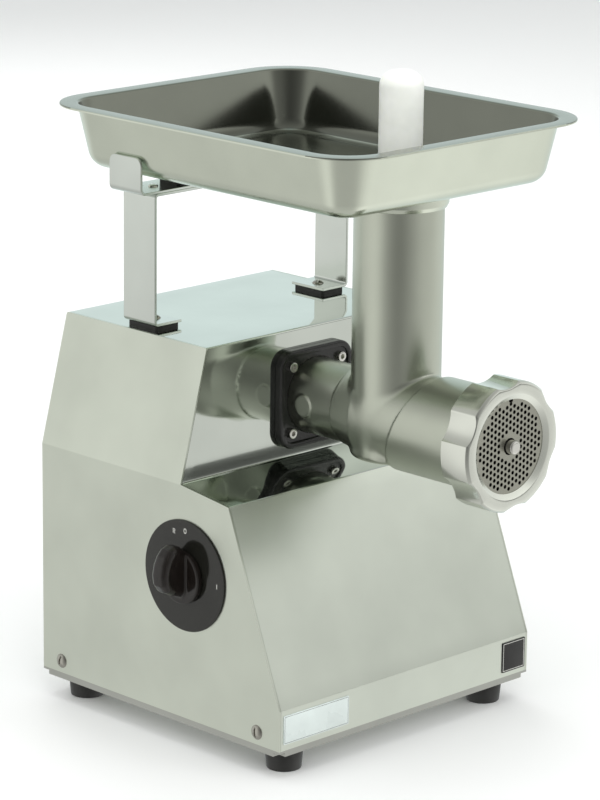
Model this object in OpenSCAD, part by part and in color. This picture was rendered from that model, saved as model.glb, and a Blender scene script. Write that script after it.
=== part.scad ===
// Bench meat grinder: folded sheet-steel housing with a gearmotor inside, a cast head with a vertical
// feed tube, worm, knife, perforated plate and lobed ring nut, and a loading tray on two strip brackets.
// Frame: X = 0 is the head's plane of symmetry, -Y is the delivery side, +Z is up, the feet stand on z = 0.

/* [Housing] */
// Width of the housing below the crease
house_w = 256; // [240:1:280]
// Width of the housing at its top
top_w = 207; // [195:1:215]
// Height of the housing's top face
house_top = 287; // [286:0.5:292]
// Height of the housing's lower edge
house_bottom = 22; // [21:0.5:24]
// Height of the shelf's back edge, where the sides start to lean
crease_z = 193; // [188:1:196]
// Sheet thickness
sheet = 1.5; // [1:0.1:2]
// Depth position of the front lip
lip_y = -79; // [-84:1:-74]
// Height of the lip's top edge
lip_top = 51.5; // [48:0.5:56]
// Depth position of the shelf's front edge
shelf_y = -26.5; // [-30:0.5:-22]
// Height of the shelf's front edge
shelf_z = 187; // [184:0.5:190]
// Depth position of the face that carries the head
face_y = 22; // [20:0.5:24]
// Depth position of the back
back_y = 169.5; // [169:0.5:175]

/* [Feet] */
// Foot centre, across
foot_x = 103; // [95:1:110]
// Distance of the foot centres from the lip and from the back
foot_inset = 20.5; // [18:0.5:26]
// Foot height
foot_h = 17.4; // [15:0.1:20]

/* [Head] */
// Height of the worm's axis
axis_z = 236.5; // [236:0.1:237]
// Radius of the round neck behind the feed tube
neck_r = 27.8; // [27:0.1:29]
// Outer radius of the barrel
barrel_r = 36.3; // [35:0.1:37.5]
// Outer radius of the barrel's threaded end
thread_r = 39.4; // [38.8:0.1:40]
// Radius of the bore that the worm turns in
worm_bore_r = 27; // [26:0.1:28]
// Depth position of the feed tube's axis
tube_y = -62; // [-66:0.5:-60]
// Outer radius of the feed tube
tube_r = 31.7; // [31:0.1:33]
// Inner radius of the feed tube
throat_r = 26; // [25:0.1:27]
// Depth position of the ring nut's front face
nut_front_y = -173.2; // [-175:0.1:-172]
// Length of the ring nut
nut_len = 25; // [23:0.5:26]
// Radius over the ring nut's lobes
nut_r = 46.2; // [45:0.1:48]
// Diameter of the perforated plate
plate_d = 70; // [69:0.5:71]

/* [Tray] */
// Width over the rim
tray_w = 257; // [245:1:262]
// Depth position of the rim's front edge
tray_front = -136; // [-140:1:-130]
// Depth position of the rim's back edge
tray_back = 176.3; // [172:0.1:178]
// Height of the rim's top
tray_top = 443.8; // [440:0.1:450]
// Height of the underside of the floor
tray_floor = 397.5; // [396:0.1:399]
// Width of the flat rim
rim_w = 13; // [10:0.5:15]
// How far each wall leans in from rim to floor
tray_taper = 10.5; // [9:0.5:12]
// Outer corner radius of the rim
rim_corner = 44; // [40:1:48]

/* [Switch] */
// Diameter of the round dial plate
dial_d = 81; // [75:1:84]
// Height of the dial's centre
dial_z = 128; // [120:1:132]
// Diameter of the knob's skirt
knob_skirt_d = 39; // [36:1:42]
// How far the knob's grip stands off the panel
knob_out = 28; // [28:1:30]

/* [Drive] */
// Gear module of the slow stage
slow_module = 2; // [2]
// Teeth of the output gear
output_teeth = 40; // [40]
// Teeth of the pinion that drives it
slow_pinion_teeth = 15; // [15]
// Gear module of the fast stage
fast_module = 1.5; // [1.5]
// Teeth of the large gear on the layshaft
fast_gear_teeth = 58; // [58]
// Teeth of the motor pinion
motor_pinion_teeth = 16; // [16]

/* [Hidden] */
$fn = 96;

eps = 0.1;
half_w = house_w / 2;
half_top = top_w / 2;
foot_front_y = lip_y + foot_inset;
foot_back_y = back_y - foot_inset;
feet = [for (x = [-foot_x, foot_x], y = [foot_front_y, foot_back_y]) [x, y]];

// Housing section from the side, as [y, z], and from the front, as [x, z]. The front one runs past the
// top and the lower edge, and the side one trims it.
side_outline = [
  [lip_y, house_bottom], [lip_y, lip_top], [shelf_y, shelf_z], [face_y, crease_z],
  [face_y, house_top], [back_y, house_top], [back_y, house_bottom]
];
over = 10;
half_over = half_top - (half_w - half_top) * over / (house_top - crease_z);
front_outline = [
  [-half_w, 0], [-half_w, crease_z], [-half_over, house_top + over],
  [half_over, house_top + over], [half_w, crease_z], [half_w, 0]
];
side_screw_z = 31;
side_screw_ys = [-56.7, 149.3];
pan_wall = 1.5;
pan_gap = 0.1;

flange_size = 72.4;
flange_thick = 6;
flange_corner = 13;
flange_border = 4.5;
flange_recess = 1.6;
flange_screw_at = 24.4;
gasket_thick = 1.5;

neck_step_y = -25;
cone_end_y = -42;
body_r = barrel_r - 1.5;
neck_bore_r = 16;
worm_neck_r = 12;
worm_chamber_back = -34;
worm_collar = 4;
washer_thick = 2;
barrel_front_y = nut_front_y + 4.8;
thread_len = 18;
tube_top = tray_floor - 0.05;
plate_thick = 10;
nut_lip = 3;
nut_bore_r = thread_r + 0.35;
nut_mouth_r = 33.25;
nut_chamfer_r = 37;
lobe_count = 6;
lobe_turn = 6.5;
plate_front_y = nut_front_y + nut_lip;
plate_back_y = plate_front_y + plate_thick;
hub_hole_r = 6;
stud_r = 5.05;
square_w = 8.6;
stud_tip_y = nut_front_y - 3.1;
knife_thick = 9;
knife_back_y = plate_back_y + knife_thick;
chamber_back_y = knife_back_y + 1.2;
key_r = 1.75;
key_len = 8;
key_z = axis_z + plate_d / 2 + 0.5;
worm_core_r = 9.5;
worm_r = worm_bore_r - 0.6;
worm_pitch = 36;
hole_r = 1.4;
hole_pitch = 4.3;
pattern_in = 10.6;
pattern_out = 30.8;

rod_r = 15.4;
rod_top = 482;
rod_bottom = 265;
plunger_r = 25.4;
plunger_h = 20;
wall_top_half = tray_w / 2 - rim_w;
floor_half = wall_top_half - tray_taper;
tray_sheet = 1;
floor_edge_r = 13;
collar_out_r = 34.7;
collar_in_r = tube_r + 0.35;
collar_bottom = 388;

strip_t = 2;
strip_y0 = 82;
strip_y1 = 115;
strip_x = 97.4;
strip_foot = 26;
pad_t = 3;
strip_base = house_top + pad_t;
strip_top = 386.2;
strip_flange = 46;
clip_out_x = 110.8;
clip_in_x = 53;
clip_tab_top = 413;
clip_screw_x = 84;
foot_screw_x = strip_x - 15;

lay_z = axis_z - (output_teeth + slow_pinion_teeth) * slow_module / 2;
motor_z = lay_z - (fast_gear_teeth + motor_pinion_teeth) * fast_module / 2;
case_front = face_y + sheet + gasket_thick;
case_wall = 8;
case_split = case_front + 22;
case_back = case_front + 43;
case_r_out = 48;
case_r_lay = 50;
case_r_motor = 24;
case_shell = 4;
slow_y = case_front + case_wall + 2;
slow_width = 11;
fast_y = slow_y + slow_width + 3;
fast_width = 9;
out_shaft_r = 8.45;
lay_shaft_r = 6;
rotor_shaft_r = 7;
running = 0.05;
motor_front = case_back;
motor_cap = 8;
motor_back = 152;
can_r = 62;
can_wall = 3;
stator_in_r = 33;
rotor_r = 32.6;
core_y0 = 86;
core_y1 = 136;
dial_y = 16.3;
dial_t = 1.5;
skirt_h = 5;
grip_w = 15;
gland_y = 132;
gland_z = 52;
gland_hex = 26;
gland_out = knob_out;
cord_hole_r = 4.2;
cap_z = foot_h + 2 + 18;

// Straight inset of a closed outline whose points run clockwise
function edge_normal(a, b) = let (d = (b - a) / norm(b - a)) [d[1], -d[0]];
function inset_point(p, q, r, t) =
  let (n1 = edge_normal(p, q), n2 = edge_normal(q, r), k = 1 + n1 * n2) q + (n1 + n2) * t / k;
function inset(pts, t) =
  let (n = len(pts)) [for (i = [0:n - 1]) inset_point(pts[(i + n - 1) % n], pts[i], pts[(i + 1) % n], t)];

// Spur gear outline with involute flanks; backlash is taken off each flank as an angle
function involute(base, r) =
  let (a = acos(min(1, base / r))) tan(a) * 180 / PI - a;
function flank(teeth, m, backlash, r) =
  let (rp = teeth * m / 2, base = rp * cos(20))
  90 / teeth - backlash / rp * 90 / PI + involute(base, rp) - (r > base ? involute(base, r) : 0);
function gear_points(teeth, m, backlash) =
  let (rp = teeth * m / 2, steps = 3, low = rp - 1.2 * m, high = rp + 0.95 * m,
       start = max(low, rp * cos(20)), radii = [low, for (i = [0:steps]) start + (high - start) * i / steps])
  [for (k = [0:teeth - 1], side = [-1, 1], i = [0:len(radii) - 1])
    let (r = side < 0 ? radii[i] : radii[len(radii) - 1 - i],
         a = 360 * k / teeth + side * flank(teeth, m, backlash, r))
    [r * cos(a), r * sin(a)]];

// Cylinder along +Y from y0 to y1, centred on [x, z]
module y_cylinder(r, y0, y1, x = 0, z = axis_z) {
  translate([x, y0, z]) rotate([-90, 0, 0]) cylinder(r = r, h = y1 - y0);
}

// Ring along +Y
module y_ring(r_out, r_in, y0, y1, x = 0, z = axis_z) {
  difference() {
    y_cylinder(r_out, y0, y1, x, z);
    y_cylinder(r_in, y0 - eps, y1 + eps, x, z);
  }
}

// Cylinder along +X from x0 to x1, centred on [y, z]
module x_cylinder(r, x0, x1, y, z) {
  translate([x0, y, z]) rotate([0, 90, 0]) cylinder(r = r, h = x1 - x0);
}

// Solid turned about the worm's axis from [radius, y] points
module y_turned(points) {
  translate([0, 0, axis_z]) rotate([-90, 0, 0]) rotate_extrude() polygon(points);
}

// Gear along +Y; the first tooth points along start, measured in the XZ plane from +X to -Z
module y_gear(teeth, m, y0, width, bore_r, z, start) {
  translate([0, y0, z]) rotate([-90, 0, 0]) rotate(start) difference() {
    linear_extrude(width) polygon(gear_points(teeth, m, 0.16));
    translate([0, 0, -eps]) cylinder(r = bore_r, h = width + 2 * eps);
  }
}

// Prism of the side outline across the machine, and of the front outline along it
module side_prism(outline, half) {
  translate([-half, 0, 0]) rotate([90, 0, 90]) linear_extrude(2 * half) polygon(outline);
}
module front_prism(outline, y0, y1) {
  translate([0, y1, 0]) rotate([90, 0, 0]) linear_extrude(y1 - y0) polygon(outline);
}

// Plate with rounded corners, centred, height along +Z
module rounded_plate(w, d, r, h) {
  linear_extrude(h) rounded_square(w, d, r);
}
module rounded_square(w, d, r) {
  square([w - 2 * r, d], center = true);
  square([w, d - 2 * r], center = true);
  for (x = [-1, 1], y = [-1, 1]) translate([x * (w / 2 - r), y * (d / 2 - r)]) circle(r);
}

// Housing: one folded sheet for lip, slope, shelf, face, top and back, between two side panels
module housing_wrap() {
  color("silver") difference() {
    intersection() {
      side_prism(side_outline, half_w);
      front_prism(inset(front_outline, sheet), lip_y - 1, back_y + 1);
    }
    side_prism(concat(
      [[lip_y + sheet, house_bottom - 1]],
      [for (i = [1:5]) inset(side_outline, sheet)[i]],
      [[back_y - sheet, house_bottom - 1]]), half_w);
    y_cylinder(neck_r + 0.4, face_y - 1, face_y + sheet + 1);
    for (x = [-1, 1], z = [-1, 1])
      y_cylinder(2.6, face_y - 1, face_y + sheet + 1, x * flange_screw_at, axis_z + z * flange_screw_at);
    for (x = [-1, 1])
      translate([x * foot_screw_x, (strip_y0 + strip_y1) / 2, house_top - sheet - 1])
        cylinder(r = 2.6, h = sheet + 2);
  }
}

module side_panel(side) {
  difference() {
    intersection() {
      side_prism(side_outline, half_w + 1);
      difference() {
        front_prism(front_outline, lip_y, back_y);
        front_prism(inset(front_outline, sheet), lip_y - 1, back_y + 1);
      }
      translate([side < 0 ? -half_w - 1 : half_top - sheet, lip_y - 1, 0])
        cube([half_w + 1 - half_top + sheet, back_y - lip_y + 2, house_top + 1]);
    }
    for (y = side_screw_ys)
      x_cylinder(2.6, side * (half_w - 2) - 3, side * (half_w - 2) + 3, y, side_screw_z);
    if (side < 0) x_cylinder(5.2, -half_w - 1, -half_w + sheet + 1, dial_y, dial_z);
    if (side > 0) x_cylinder(8.1, half_w - sheet - 1, half_w + 1, gland_y, gland_z);
  }
}
module side_panel_left() { color("gainsboro") side_panel(-1); }
module side_panel_right() { color("gainsboro") side_panel(1); }

// Slotted pan-head screw along +X, its head's underside at x = 0
module pan_screw(head_r, head_h, shank_r, shank_len) {
  difference() {
    union() {
      rotate([0, 90, 0]) cylinder(r = head_r, h = head_h);
      translate([-shank_len, 0, 0]) rotate([0, 90, 0]) cylinder(r = shank_r, h = shank_len + eps);
    }
    translate([head_h - 1.2, -0.6, -head_r - 1]) cube([2, 1.2, 2 * head_r + 2]);
  }
}

module side_screws() {
  color("lightgray")
  for (side = [0, 180], y = side_screw_ys)
    translate([side == 0 ? half_w : -half_w, y, side_screw_z]) rotate([0, 0, side])
      pan_screw(5.5, 2.6, 2.5, 10);
}

// Base pan: floor with a hem that shows below the housing, and an upstand that the side screws hold
module base_pan() {
  w = house_w;
  d = back_y - lip_y;
  mid = (back_y + lip_y) / 2;
  up = sheet + pan_gap;
  color("darkgray") difference() {
    union() {
      translate([-w / 2, lip_y, foot_h]) cube([w, d, house_bottom - foot_h]);
      translate([-w / 2 + up, lip_y + up, house_bottom - eps]) cube([w - 2 * up, d - 2 * up, 16]);
    }
    translate([-w / 2 + up + pan_wall, lip_y + up + pan_wall, foot_h + 2])
      cube([w - 2 * (up + pan_wall), d - 2 * (up + pan_wall), 30]);
    for (x = [-1, 1], y = [-1, 1])
      translate([x * w / 2, mid + y * d / 2, foot_h + 1.5]) cube([12, 12, 3], center = true);
    for (side = [-1, 1], y = side_screw_ys)
      x_cylinder(2.55, side * (half_w - 3) - 5, side * (half_w - 3) + 5, y, side_screw_z);
    for (p = feet) translate([p[0], p[1], foot_h - 1]) cylinder(r = 2.6, h = 5);
  }
}

module rubber_feet() {
  color("black") for (p = feet) translate([p[0], p[1], 0]) difference() {
    cylinder(r1 = 12.4, r2 = 14, h = foot_h);
    translate([0, 0, -eps]) cylinder(r = 6.2, h = 7);
    cylinder(r = 2.6, h = foot_h + 1);
  }
}

module foot_screws() {
  color("lightgray") for (p = feet) translate([p[0], p[1], 0]) {
    translate([0, 0, 3.5]) cylinder(r = 5, h = 3.4);
    translate([0, 0, 6.7]) cylinder(r = 2.5, h = 18);
    translate([0, 0, foot_h + 2]) cylinder(r = 5, h = 4, $fn = 6);
  }
}

module name_plate() {
  color("white") translate([-124, lip_y - 0.6, 26.5]) cube([64, 0.6, 21]);
}

module rating_plate() {
  color("black") translate([100.5, lip_y - 0.6, 25.5]) cube([24.5, 0.6, 23]);
}

// Square mounting flange: raised border round a recessed field, four socket-head screws
module mounting_flange() {
  color("black") difference() {
    translate([0, face_y, axis_z]) rotate([90, 0, 0])
      rounded_plate(flange_size, flange_size, flange_corner, flange_thick);
    translate([0, face_y - flange_thick + flange_recess, axis_z]) rotate([90, 0, 0])
      rounded_plate(flange_size - 2 * flange_border, flange_size - 2 * flange_border,
        flange_corner - flange_border, flange_recess + 1);
    y_cylinder(neck_r + 0.05, face_y - flange_thick - 1, face_y + 1);
    for (x = [-1, 1], z = [-1, 1])
      y_cylinder(2.6, face_y - flange_thick - 1, face_y + 1, x * flange_screw_at, axis_z + z * flange_screw_at);
  }
}

module flange_screws() {
  seat = face_y - flange_thick + flange_recess;
  color("silver") for (x = [-1, 1], z = [-1, 1]) {
    sx = x * flange_screw_at;
    sz = axis_z + z * flange_screw_at;
    difference() {
      y_cylinder(3.7, seat - 3, seat, sx, sz);
      translate([sx, seat - 3 - eps, sz]) rotate([-90, 0, 0]) cylinder(r = 1.9, h = 2.2, $fn = 6);
    }
    y_cylinder(2.5, seat - eps, seat + 16, sx, sz);
  }
}

module flange_gasket() {
  color("dimgray") difference() {
    translate([0, face_y + sheet + gasket_thick, axis_z]) rotate([90, 0, 0])
      rounded_plate(66, 66, 10, gasket_thick);
    y_cylinder(neck_r + 0.1, face_y, face_y + 10);
    for (x = [-1, 1], z = [-1, 1])
      y_cylinder(2.6, face_y, face_y + 10, x * flange_screw_at, axis_z + z * flange_screw_at);
  }
}

// Head: neck, cone and barrel along the worm's axis, crossed by the vertical feed tube
module head_casting() {
  color("lightslategray") difference() {
    union() {
      y_turned([
        [0, case_front - 0.1], [neck_r, case_front - 0.1], [neck_r, neck_step_y],
        [neck_r + 0.8, neck_step_y], [body_r, cone_end_y], [body_r, tube_y - 16], [barrel_r, tube_y - 26],
        [barrel_r, barrel_front_y + thread_len + 1.5], [thread_r, barrel_front_y + thread_len + 1.5],
        [thread_r, barrel_front_y], [0, barrel_front_y]
      ]);
      translate([0, tube_y, axis_z - 28.5]) cylinder(r = tube_r, h = tube_top - axis_z + 28.5);
      x_cylinder(8.2, -neck_r - 0.5, 0, 2.8, axis_z - 1);
    }
    y_cylinder(neck_bore_r, worm_chamber_back - 1, case_front + 1);
    y_cylinder(worm_bore_r, barrel_front_y - 1, worm_chamber_back);
    y_cylinder(plate_d / 2, barrel_front_y - 1, chamber_back_y);
    y_cylinder(key_r, barrel_front_y - 1, barrel_front_y + key_len, 0, key_z);
    translate([0, tube_y, axis_z]) cylinder(r = throat_r, h = 200);
    x_cylinder(3, -neck_r - 3, -neck_bore_r + 2, 2.8, axis_z - 1);
  }
}

module neck_pin() {
  color("silver") x_cylinder(3, -neck_r - 0.3, -neck_bore_r - 0.2, 2.8, axis_z - 1);
}

module neck_bush() {
  color("darkgoldenrod") y_ring(neck_bore_r, worm_neck_r + running, worm_chamber_back + 4, -8);
}

// Worm: shaft, square tang at the back and one helical flight with a wide root
module flight_section() {
  root = 42;
  tip = 26;
  polygon(concat(
    [(worm_core_r - 3) * [cos(root), sin(root)], (worm_core_r - 3) * [cos(root), -sin(root)]],
    [for (a = [-tip:tip / 2:tip]) worm_r * [cos(a), sin(a)]]));
}

module worm() {
  collar_y = worm_chamber_back - washer_thick - worm_collar;
  flight_len = collar_y - (knife_back_y + 3);
  color("lightgray") difference() {
    union() {
      y_cylinder(worm_neck_r, collar_y + 1, -4);
      y_cylinder(20, collar_y - eps, collar_y + worm_collar);
      y_cylinder(worm_core_r, knife_back_y, collar_y);
      translate([0, 3, axis_z]) cube([12, 26, 12], center = true);
      translate([0, collar_y, axis_z]) rotate([90, 0, 0])
        linear_extrude(flight_len, twist = -360 * flight_len / worm_pitch, slices = 54, $fn = 8)
          flight_section();
    }
    y_cylinder(4, knife_back_y - 1, knife_back_y + 22);
  }
}

module thrust_washer() {
  color("ivory") y_ring(20, worm_neck_r, worm_chamber_back - washer_thick, worm_chamber_back - 0.05);
}

// Stud screwed into the worm: it carries the knife on a square and runs in the plate's hub
module worm_stud() {
  color("silver") {
    y_cylinder(4, plate_back_y - 2, knife_back_y + 21);
    translate([-square_w / 2, plate_back_y, axis_z - square_w / 2])
      cube([square_w, knife_thick, square_w]);
    y_cylinder(stud_r, stud_tip_y + 2, plate_back_y);
    y_cylinder(stud_r - 2, stud_tip_y, stud_tip_y + 2 + eps);
    translate([0, stud_tip_y + 2, axis_z]) rotate([90, 0, 0])
      rotate_extrude() intersection() {
        translate([stud_r - 2, 0]) circle(2, $fn = 32);
        translate([1, 0]) square(10);
      }
  }
}

module knife() {
  color("gray") difference() {
    union() {
      y_cylinder(11, plate_back_y, knife_back_y);
      for (a = [0:90:270]) translate([0, plate_back_y, axis_z]) rotate([0, a, 0])
        translate([-4.5, 0, 0]) cube([9, knife_thick - 2, plate_d / 2 - 2.5]);
    }
    translate([-square_w / 2, plate_back_y - 2, axis_z - square_w / 2])
      cube([square_w, knife_thick + 3, square_w]);
  }
}

// Key that stops the plate turning: a pin half sunk in the barrel's mouth
module plate_key() {
  color("silver") y_cylinder(key_r, barrel_front_y, barrel_front_y + key_len, 0, key_z);
}

// Perforated plate: holes on a triangular grid between the hub and the rim, one keyway at the top
module perforated_plate() {
  row = hole_pitch * sqrt(3) / 2;
  rows = floor(pattern_out / row);
  cols = ceil(pattern_out / hole_pitch) + 1;
  color("gray") difference() {
    y_cylinder(plate_d / 2 - 0.1, plate_front_y, plate_back_y);
    y_cylinder(hub_hole_r, plate_front_y - 1, plate_back_y + 1);
    translate([-2, plate_front_y - 1, axis_z + plate_d / 2 - 3.6]) cube([4, plate_thick + 2, 6]);
    for (j = [-rows:rows], i = [-cols:cols]) {
      x = (i + (j % 2 == 0 ? 0 : 0.5)) * hole_pitch;
      z = j * row;
      r = norm([x, z]);
      if (r > pattern_in && r < pattern_out)
        y_cylinder(hole_r, plate_front_y - 1, plate_back_y + 1, z, axis_z + x, $fn = 16);
    }
  }
}

// Ring nut: six lobes with shallow scallops between them, a chamfered mouth and a lip over the plate
module ring_nut() {
  scallop_r = 26;
  scallop_depth = 3.6;
  color("silver") difference() {
    y_cylinder(nut_r, nut_front_y, nut_front_y + nut_len);
    for (k = [0:lobe_count - 1]) {
      a = lobe_turn + 30 + k * 60;
      c = nut_r - scallop_depth + scallop_r;
      y_cylinder(scallop_r, nut_front_y - 1, nut_front_y + nut_len + 1, c * cos(a), axis_z + c * sin(a));
    }
    y_cylinder(nut_bore_r, plate_front_y, nut_front_y + nut_len + 1);
    y_cylinder(nut_mouth_r, nut_front_y - 1, plate_front_y + 1);
    y_turned([
      [0, nut_front_y - 1], [nut_chamfer_r + 1.5, nut_front_y - 1], [nut_mouth_r - 0.1, plate_front_y - 0.6],
      [0, plate_front_y - 0.6]
    ]);
  }
}

// Drive: output shaft with a square socket for the worm, layshaft and motor shaft one below the other
module output_shaft() {
  color("dimgray") difference() {
    union() {
      y_cylinder(14, -2, case_front - 1.5);
      y_cylinder(out_shaft_r, case_front - 2, case_back + 2);
    }
    translate([0, 0, axis_z]) cube([12.04, 32.4, 12.04], center = true);
  }
}

module output_gear() {
  color("slategray") y_gear(output_teeth, slow_module, slow_y, slow_width, out_shaft_r, axis_z, 90);
}

module output_bearings() {
  color("lightsteelblue") for (y = [case_front, case_back - case_wall])
    y_ring(17.48, out_shaft_r + running, y, y + case_wall);
}

module layshaft() {
  color("dimgray") y_cylinder(lay_shaft_r, case_front + 0.5, case_back - 0.5, 0, lay_z);
}

module layshaft_gear() {
  color("slategray")
    y_gear(fast_gear_teeth, fast_module, fast_y, fast_width, lay_shaft_r, lay_z, 90);
}

module layshaft_pinion() {
  half_tooth = 180 / slow_pinion_teeth;
  color("slategray")
    y_gear(slow_pinion_teeth, slow_module, slow_y, slow_width, lay_shaft_r, lay_z, -90 + half_tooth);
}

module layshaft_bushes() {
  color("darkgoldenrod") for (y = [case_front, case_back - case_wall])
    y_ring(9.98, lay_shaft_r + running, y, y + case_wall, 0, lay_z);
}

// Gearbox: two half shells that share one outline, walls thick enough to seat the bearings
module case_outline(extra) {
  translate([0, axis_z]) circle(case_r_out + extra);
  translate([0, lay_z]) circle(case_r_lay + extra);
  translate([0, motor_z]) circle(case_r_motor + extra);
  translate([-case_r_motor - extra, motor_z]) square([2 * (case_r_motor + extra), lay_z - motor_z]);
}

module case_half(y0, y1, wall_y0, wall_y1) {
  difference() {
    translate([0, y1, 0]) rotate([90, 0, 0]) linear_extrude(y1 - y0) case_outline(0);
    difference() {
      translate([0, y1 + 1, 0]) rotate([90, 0, 0]) linear_extrude(y1 - y0 + 2) case_outline(-case_shell);
      translate([-200, wall_y0, 0]) cube([400, wall_y1 - wall_y0, 400]);
    }
    y_cylinder(17.5, y0 - 1, y1 + 1);
    y_cylinder(10, y0 - 1, y1 + 1, 0, lay_z);
    for (p = case_screw_points) y_cylinder(2.1, y0 - 1, y1 + 1, p[0], p[1]);
  }
}
case_screw_points = [
  for (a = [55, 125]) [(case_r_out - 2.2) * cos(a), axis_z + (case_r_out - 2.2) * sin(a)],
  for (x = [-1, 1]) [x * (case_r_lay - 2.2), lay_z]
];

module gearbox_cover() {
  color("lightgray") difference() {
    case_half(case_front, case_split, case_front, case_front + case_wall);
    for (x = [-1, 1], z = [-1, 1])
      y_cylinder(2.5, case_front - 1, case_front + case_wall + 1, x * flange_screw_at, axis_z + z * flange_screw_at);
  }
}

module gearbox_case() {
  color("silver") difference() {
    case_half(case_split, case_back, case_back - case_wall, case_back);
    y_cylinder(16.02, case_back - case_wall - 1, case_back + 1, 0, motor_z);
  }
}

module gearbox_screws() {
  color("gray") for (p = case_screw_points) {
    y_cylinder(2, case_front + 0.5, case_back - 0.5, p[0], p[1]);
  }
}

module motor_can() {
  color("steelblue") y_ring(can_r, can_r - can_wall, motor_front + motor_cap, motor_back - motor_cap, 0, motor_z);
}

module motor_stator() {
  color("brown") y_ring(can_r - can_wall - 0.02, stator_in_r, core_y0, core_y1, 0, motor_z);
}

module motor_end(y0) {
  difference() {
    y_cylinder(can_r, y0, y0 + motor_cap, 0, motor_z);
    y_cylinder(16, y0 - 1, y0 + motor_cap + 1, 0, motor_z);
  }
}
module motor_front_cap() { color("lightgray") motor_end(motor_front); }
module motor_rear_cap() { color("lightgray") motor_end(motor_back - motor_cap); }

module motor_bearings() {
  color("lightsteelblue") for (y = [motor_front, motor_back - motor_cap])
    y_ring(15.98, rotor_shaft_r + running, y, y + motor_cap, 0, motor_z);
}

module motor_cradle() {
  floor_z = foot_h + 2;
  color("gray") difference() {
    translate([-45, motor_front + 14, floor_z]) cube([90, 56, motor_z - 35 - floor_z]);
    y_cylinder(can_r + 0.02, motor_front, motor_back, 0, motor_z);
    translate([-40, motor_front + 10, floor_z + 3]) cube([80, 64, motor_z - can_r - 9 - floor_z]);
  }
}

module rotor_core() {
  color("orange") y_ring(rotor_r, rotor_shaft_r, core_y0, core_y1, 0, motor_z);
}

module rotor_shaft() {
  color("dimgray") y_cylinder(rotor_shaft_r, fast_y - 0.5, motor_back + 12, 0, motor_z);
}

module motor_pinion() {
  half_tooth = 180 / motor_pinion_teeth;
  color("slategray")
    y_gear(motor_pinion_teeth, fast_module, fast_y, fast_width, rotor_shaft_r, motor_z, -90 + half_tooth);
}

module cooling_fan() {
  blades = 7;
  color("white") difference() {
    union() {
      y_cylinder(13, motor_back + 2, motor_back + 12, 0, motor_z);
      y_cylinder(50, motor_back + 2, motor_back + 3.5, 0, motor_z);
      for (k = [0:blades - 1]) translate([0, motor_back + 3, motor_z]) rotate([0, k * 360 / blades, 0])
        translate([-1, 0, 9]) cube([2, 8, 38]);
    }
    y_cylinder(rotor_shaft_r, motor_back, motor_back + 20, 0, motor_z);
  }
}

module run_capacitor() {
  color("whitesmoke") {
    x_cylinder(18, -105, -52, 100, cap_z);
    for (y = [-6, 6]) x_cylinder(3, -52.1, -46.5, 100 + y, cap_z);
  }
}

module terminal_block() {
  color("ivory") translate([70, 60, foot_h + 2]) difference() {
    cube([18, 40, 16]);
    for (i = [0:3]) translate([9, 6 + i * 9.3, 4]) cylinder(r = 2.4, h = 13);
  }
}

// Cable gland in the right side panel: hexagon body with a tapered dome nut, and a lock nut inside
module cable_gland() {
  color("black") difference() {
    union() {
      x_cylinder(8, half_w - sheet - 9, half_w + 1, gland_y, gland_z);
      translate([half_w, gland_y, gland_z]) rotate([0, 90, 0]) cylinder(d = gland_hex, h = 6, $fn = 6);
      x_cylinder(11.3, half_w + 6, half_w + 18, gland_y, gland_z);
      translate([half_w + 18, gland_y, gland_z]) rotate([0, 90, 0]) cylinder(r1 = 11.3, r2 = 7, h = gland_out - 18);
    }
    x_cylinder(cord_hole_r, half_w - sheet - 10, half_w + gland_out + 1, gland_y, gland_z);
  }
}

module gland_nut() {
  color("black") translate([half_w - sheet - 6, gland_y, gland_z]) rotate([0, 90, 0]) difference() {
    cylinder(d = gland_hex, h = 6, $fn = 6);
    translate([0, 0, -1]) cylinder(r = 8, h = 8);
  }
}

module dial_plate() {
  color("black") difference() {
    x_cylinder(dial_d / 2, -half_w - dial_t, -half_w, dial_y, dial_z);
    x_cylinder(5.2, -half_w - dial_t - 1, -half_w + 1, dial_y, dial_z);
  }
}

module switch_body() {
  color("dimgray") difference() {
    translate([-half_w + sheet, dial_y - 22, dial_z - 22]) cube([34, 44, 44]);
    x_cylinder(4.05, -half_w, -half_w + 22, dial_y, dial_z);
  }
}

// Knob: low round skirt, and an upright grip that bulges at the end pointing to the mark.
// The grip's outline is [distance from the panel, height above the axis].
grip_outline = [
  [3.5, -14.5], [3.5, 17], [5.5, 21], [9.5, 24], [14.5, 25], [19.5, 23], [23.5, 18.5],
  [26.5, 12.5], [knob_out, 5], [27, -2], [23, -7.5], [17.5, -10.5], [10.5, -12.5], [6.5, -14]
];
module knob() {
  x_skirt = -half_w - dial_t - 0.4;
  color("black") difference() {
    union() {
      x_cylinder(knob_skirt_d / 2, x_skirt - skirt_h, x_skirt, dial_y, dial_z);
      translate([0, dial_y + grip_w / 2, dial_z]) rotate([90, 0, 0]) linear_extrude(grip_w)
        polygon([for (p = grip_outline) [-half_w - p[0], p[1]]]);
    }
    x_cylinder(4, -half_w - knob_out + 6, x_skirt + 1, dial_y, dial_z);
  }
}

module knob_spindle() {
  color("silver") x_cylinder(4, -half_w - knob_out + 6, -half_w + 20, dial_y, dial_z);
}

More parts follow.
